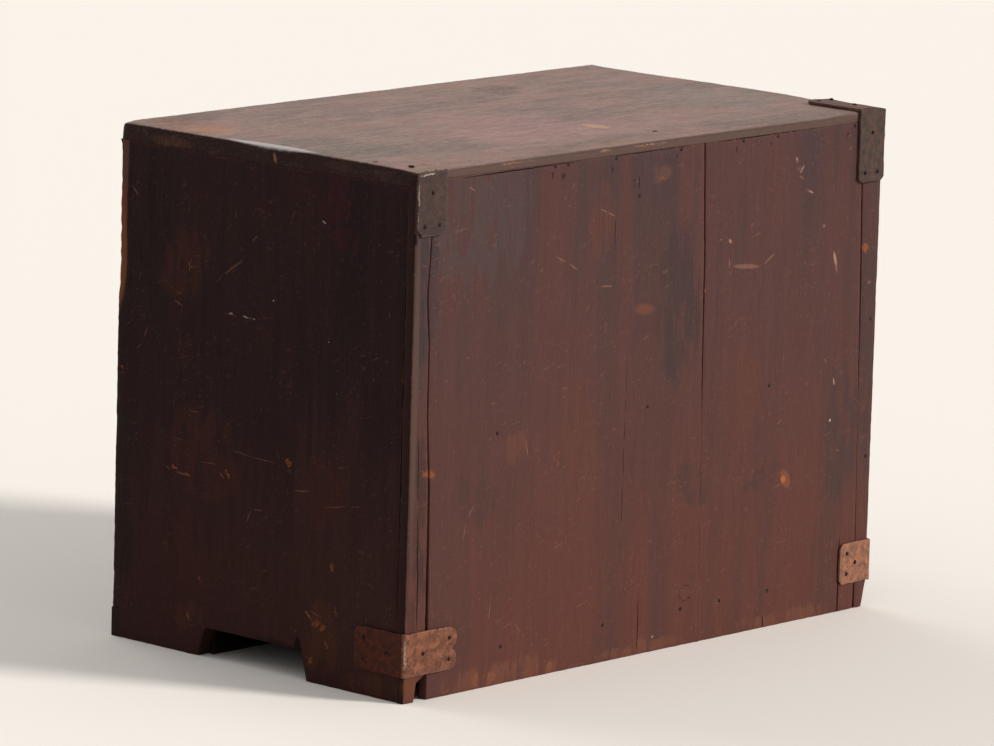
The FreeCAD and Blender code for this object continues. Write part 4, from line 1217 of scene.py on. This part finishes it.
# --- Drawers ---
# Each drawer is a pegged box of bare pale softwood behind a stained front: sides let into the front,
# finger joints at the back, the bottom pegged on from below with square split pegs.
def bare_wood(name, grain_turn, pale, brown, dirt):
    """Bare drawer wood: soft straight grain, yellowed, with dust and handling dirt in patches."""
    paint, tree, place = new_paint(name)
    turned_place = put(tree, "Mapping", {"Vector": place, "Rotation": grain_turn})[0]
    grain = put(tree, "Group", {"Place": turned_place, "Stretch": 18.0, "Figure size": 7.0},
                node_tree=GRAIN)
    colour = tint(tree, shares(tree, grain["Figure"], 0.6, grain["Fibre"], 0.4), pale, brown)
    grubby = noise(tree, place, 45.0, 4.0, 0.5)
    colour = tint(tree, spread_out(tree, grubby, 0.35, 1.0, 0.0, 0.32), colour, dirt)
    colour = tint(tree, times(tree, grain["Pores"], 0.35), colour, dirt)
    speck = put(tree, "Group", {"Place": place, "Radius": 0.5}, node_tree=SPECKS)[0]
    colour = tint(tree, times(tree, speck, 0.5), colour, dirt)
    return finished(paint, {"Base Color": colour, "Specular IOR Level": 0.25,
                            "Roughness": spread_out(tree, grain["Fibre"], 0.0, 1.0, 0.82, 0.68)},
                    grain["Height"], 0.4)


PALE, BROWN, DIRT = seen(176, 142, 104), seen(146, 111, 77), seen(98, 74, 54)
DRAWER_ALONG = bare_wood("drawer_wood_along", ALONG_Y, PALE, BROWN, DIRT)
DRAWER_ACROSS = bare_wood("drawer_wood_across", ALONG_X, PALE, BROWN, DIRT)
PEG_WOOD = bare_wood("peg_wood", ALONG_X, seen(150, 112, 74), seen(118, 84, 54), DIRT)
POST_HALF = 0.035
GRIP_DROP = 0.031


def front_wood(name, hinges):
    """The front's stain, scuffed in an arc under each pull where the bail swings and knocks."""
    y = FRONT_Y
    scuffs, dents = [], []
    for hinge in hinges:
        x, z = hinge[0], hinge[2]
        dents.append(((x - 0.030, y, z - GRIP_DROP), (x + 0.030, y, z - GRIP_DROP), 1.6))
        scuffs.append(((x - 0.022, y, z - 0.040), (x + 0.024, y, z - 0.041), 6.0))
        scuffs.append(((x - 0.012, y, z - 0.004), (x + 0.014, y, z - 0.005), 9.0))
    return stained_wood(
        "front_wood_" + name, ALONG_X, deep=seen(50, 30, 27), warm=seen(76, 42, 34), bare=seen(150, 92, 58),
        gloss=0.2, roughness=0.5, stretch=16.0, figure_size=12.0, scratch_amount=0.25, scratch_strength=0.3,
        nick_strength=0.3, scuff_amount=0.3, scuff_strength=0.15,
        scuff=seen(136, 98, 76), box_name=name + "_front", rim_colour=seen(118, 70, 46),
        shades=[(seen(84, 50, 38), scuffs)], nicks=dents)


drawer_hinges = {}
for joint in frame["joints"]:
    if joint["type"] == "hinge":
        drawer_hinges.setdefault(joint["parent"], []).append(joint)
for drawer, joints in drawer_hinges.items():
    name = drawer.removeprefix("drawer_")
    eased(name + "_front", front_wood(name, [joint["pos_m"] for joint in joints]))
    for part, paint in (("_side_left", DRAWER_ALONG), ("_side_right", DRAWER_ALONG),
                        ("_back", DRAWER_ACROSS), ("_bottom", DRAWER_ACROSS)):
        eased(name + part, paint, 0.0005)
    eased(name + "_pegs", PEG_WOOD, 0.0002)


# --- Pulls ---
# Each pull is a bail forged from one iron bar. Its stubs turn in the eyes of two split pins, which pass
# through hammered washers and the front and are clenched behind it.
PULL_IRON = dark_iron("pull_iron", seen(30, 27, 26), seen(58, 50, 46), 0.45)
STUB_R = 0.00175
LEG_R = 0.0022
GRIP_R = 0.0030
ELBOW_R = 0.0045
BAIL_CORNER_R = 0.010
BAR_POINTS = 14


def bail_line(half_width):
    """Half of the bar's middle line from stub end to grip middle, as across, drop and radius.

    A straight stub, a quarter turn down, a straight leg, a quarter turn in, and the grip, swelling as sine.
    """
    turn = np.linspace(0, np.pi / 2, 7)
    corner_x = half_width - BAIL_CORNER_R
    grip = np.linspace(0, 1, 7)[1:]
    across = np.concatenate([[POST_HALF - 0.0038, half_width - ELBOW_R - 0.0005],
                             half_width - ELBOW_R + ELBOW_R * np.sin(turn),
                             corner_x + BAIL_CORNER_R * np.cos(turn), corner_x * (1 - grip)])
    drop = np.concatenate([[0, 0], ELBOW_R * (1 - np.cos(turn)),
                           GRIP_DROP - BAIL_CORNER_R + BAIL_CORNER_R * np.sin(turn),
                           np.full(len(grip), GRIP_DROP)])
    radius = np.concatenate([[STUB_R, STUB_R], np.linspace(STUB_R * 1.05, LEG_R, 7), np.full(7, LEG_R),
                             LEG_R + (GRIP_R - LEG_R) * np.sin(grip * np.pi / 2)])
    return across, drop, radius


def make_bail(name, hinge):
    """A round bar swept along the bail's line: rings square to the line's direction, closed at the ends."""
    low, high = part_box(name)
    across, drop, radius = bail_line((high[0] - low[0]) / 2 - LEG_R)
    line = np.stack([np.concatenate([-across, across[-2::-1]]), np.concatenate([-drop, -drop[-2::-1]])], 1)
    forward = np.gradient(line, axis=0)
    line, forward = (np.concatenate([ends[:1], ends, ends[-1:]]) for ends in (line, forward))
    radius = np.concatenate([[0], radius, radius[-2::-1], [0]])[:, None]
    forward /= np.linalg.norm(forward, axis=1)[:, None]
    turn = np.arange(BAR_POINTS) * 2 * np.pi / BAR_POINTS
    x = line[:, :1] - forward[:, 1:] * radius * np.cos(turn)
    z = line[:, 1:] + forward[:, :1] * radius * np.cos(turn)
    points = np.stack([x, radius * np.sin(turn), z], -1).reshape(-1, 3)
    points *= 1 + 0.012 * (cloud(points, 0.004, 151)[:, None] - 0.5)
    make_piece("forged", name, points + np.array(hinge), ring_faces(len(line), BAR_POINTS), PULL_IRON,
               "pull_iron", body=name)


def make_washers(name, drawer, hinges):
    """Hammered discs: a low crown that thins to the rim, dished by noise, one behind each split pin."""
    low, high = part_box(name + "_washers")
    thick = FRONT_Y - low[1]
    radius = (high[2] - low[2]) / 2
    profile = [(0, thick), (0.45 * radius, thick), (0.74 * radius, 0.95 * thick),
               (0.88 * radius, 0.62 * thick), (0.975 * radius, 0.30 * thick), (radius, 0.1 * thick),
               (radius, 0), (0, 0)]
    discs = []
    for hinge in hinges:
        for side in (-POST_HALF, POST_HALF):
            points, faces = turned(profile, 36)
            points[:, :2] *= 1 + 0.05 * (cloud(points + side, 0.006, 161)[:, None] - 1)
            points[:, 2] *= 0.75 + 0.25 * cloud(points + side, 0.004, 162)
            placed = np.stack([points[:, 0], -points[:, 2], points[:, 1]], 1)
            discs.append((placed + (hinge[0] + side, FRONT_Y, hinge[2]), faces))
    make_piece("hammered", name + "_washers", *joined(discs), PULL_IRON, "pull_iron", body=drawer)


for drawer, joints in drawer_hinges.items():
    name = drawer.removeprefix("drawer_")
    eased(name + "_posts", PULL_IRON, 0.00035)
    make_washers(name, drawer, [joint["pos_m"] for joint in joints])
    for joint in joints:
        make_bail(joint["child"], joint["pos_m"])
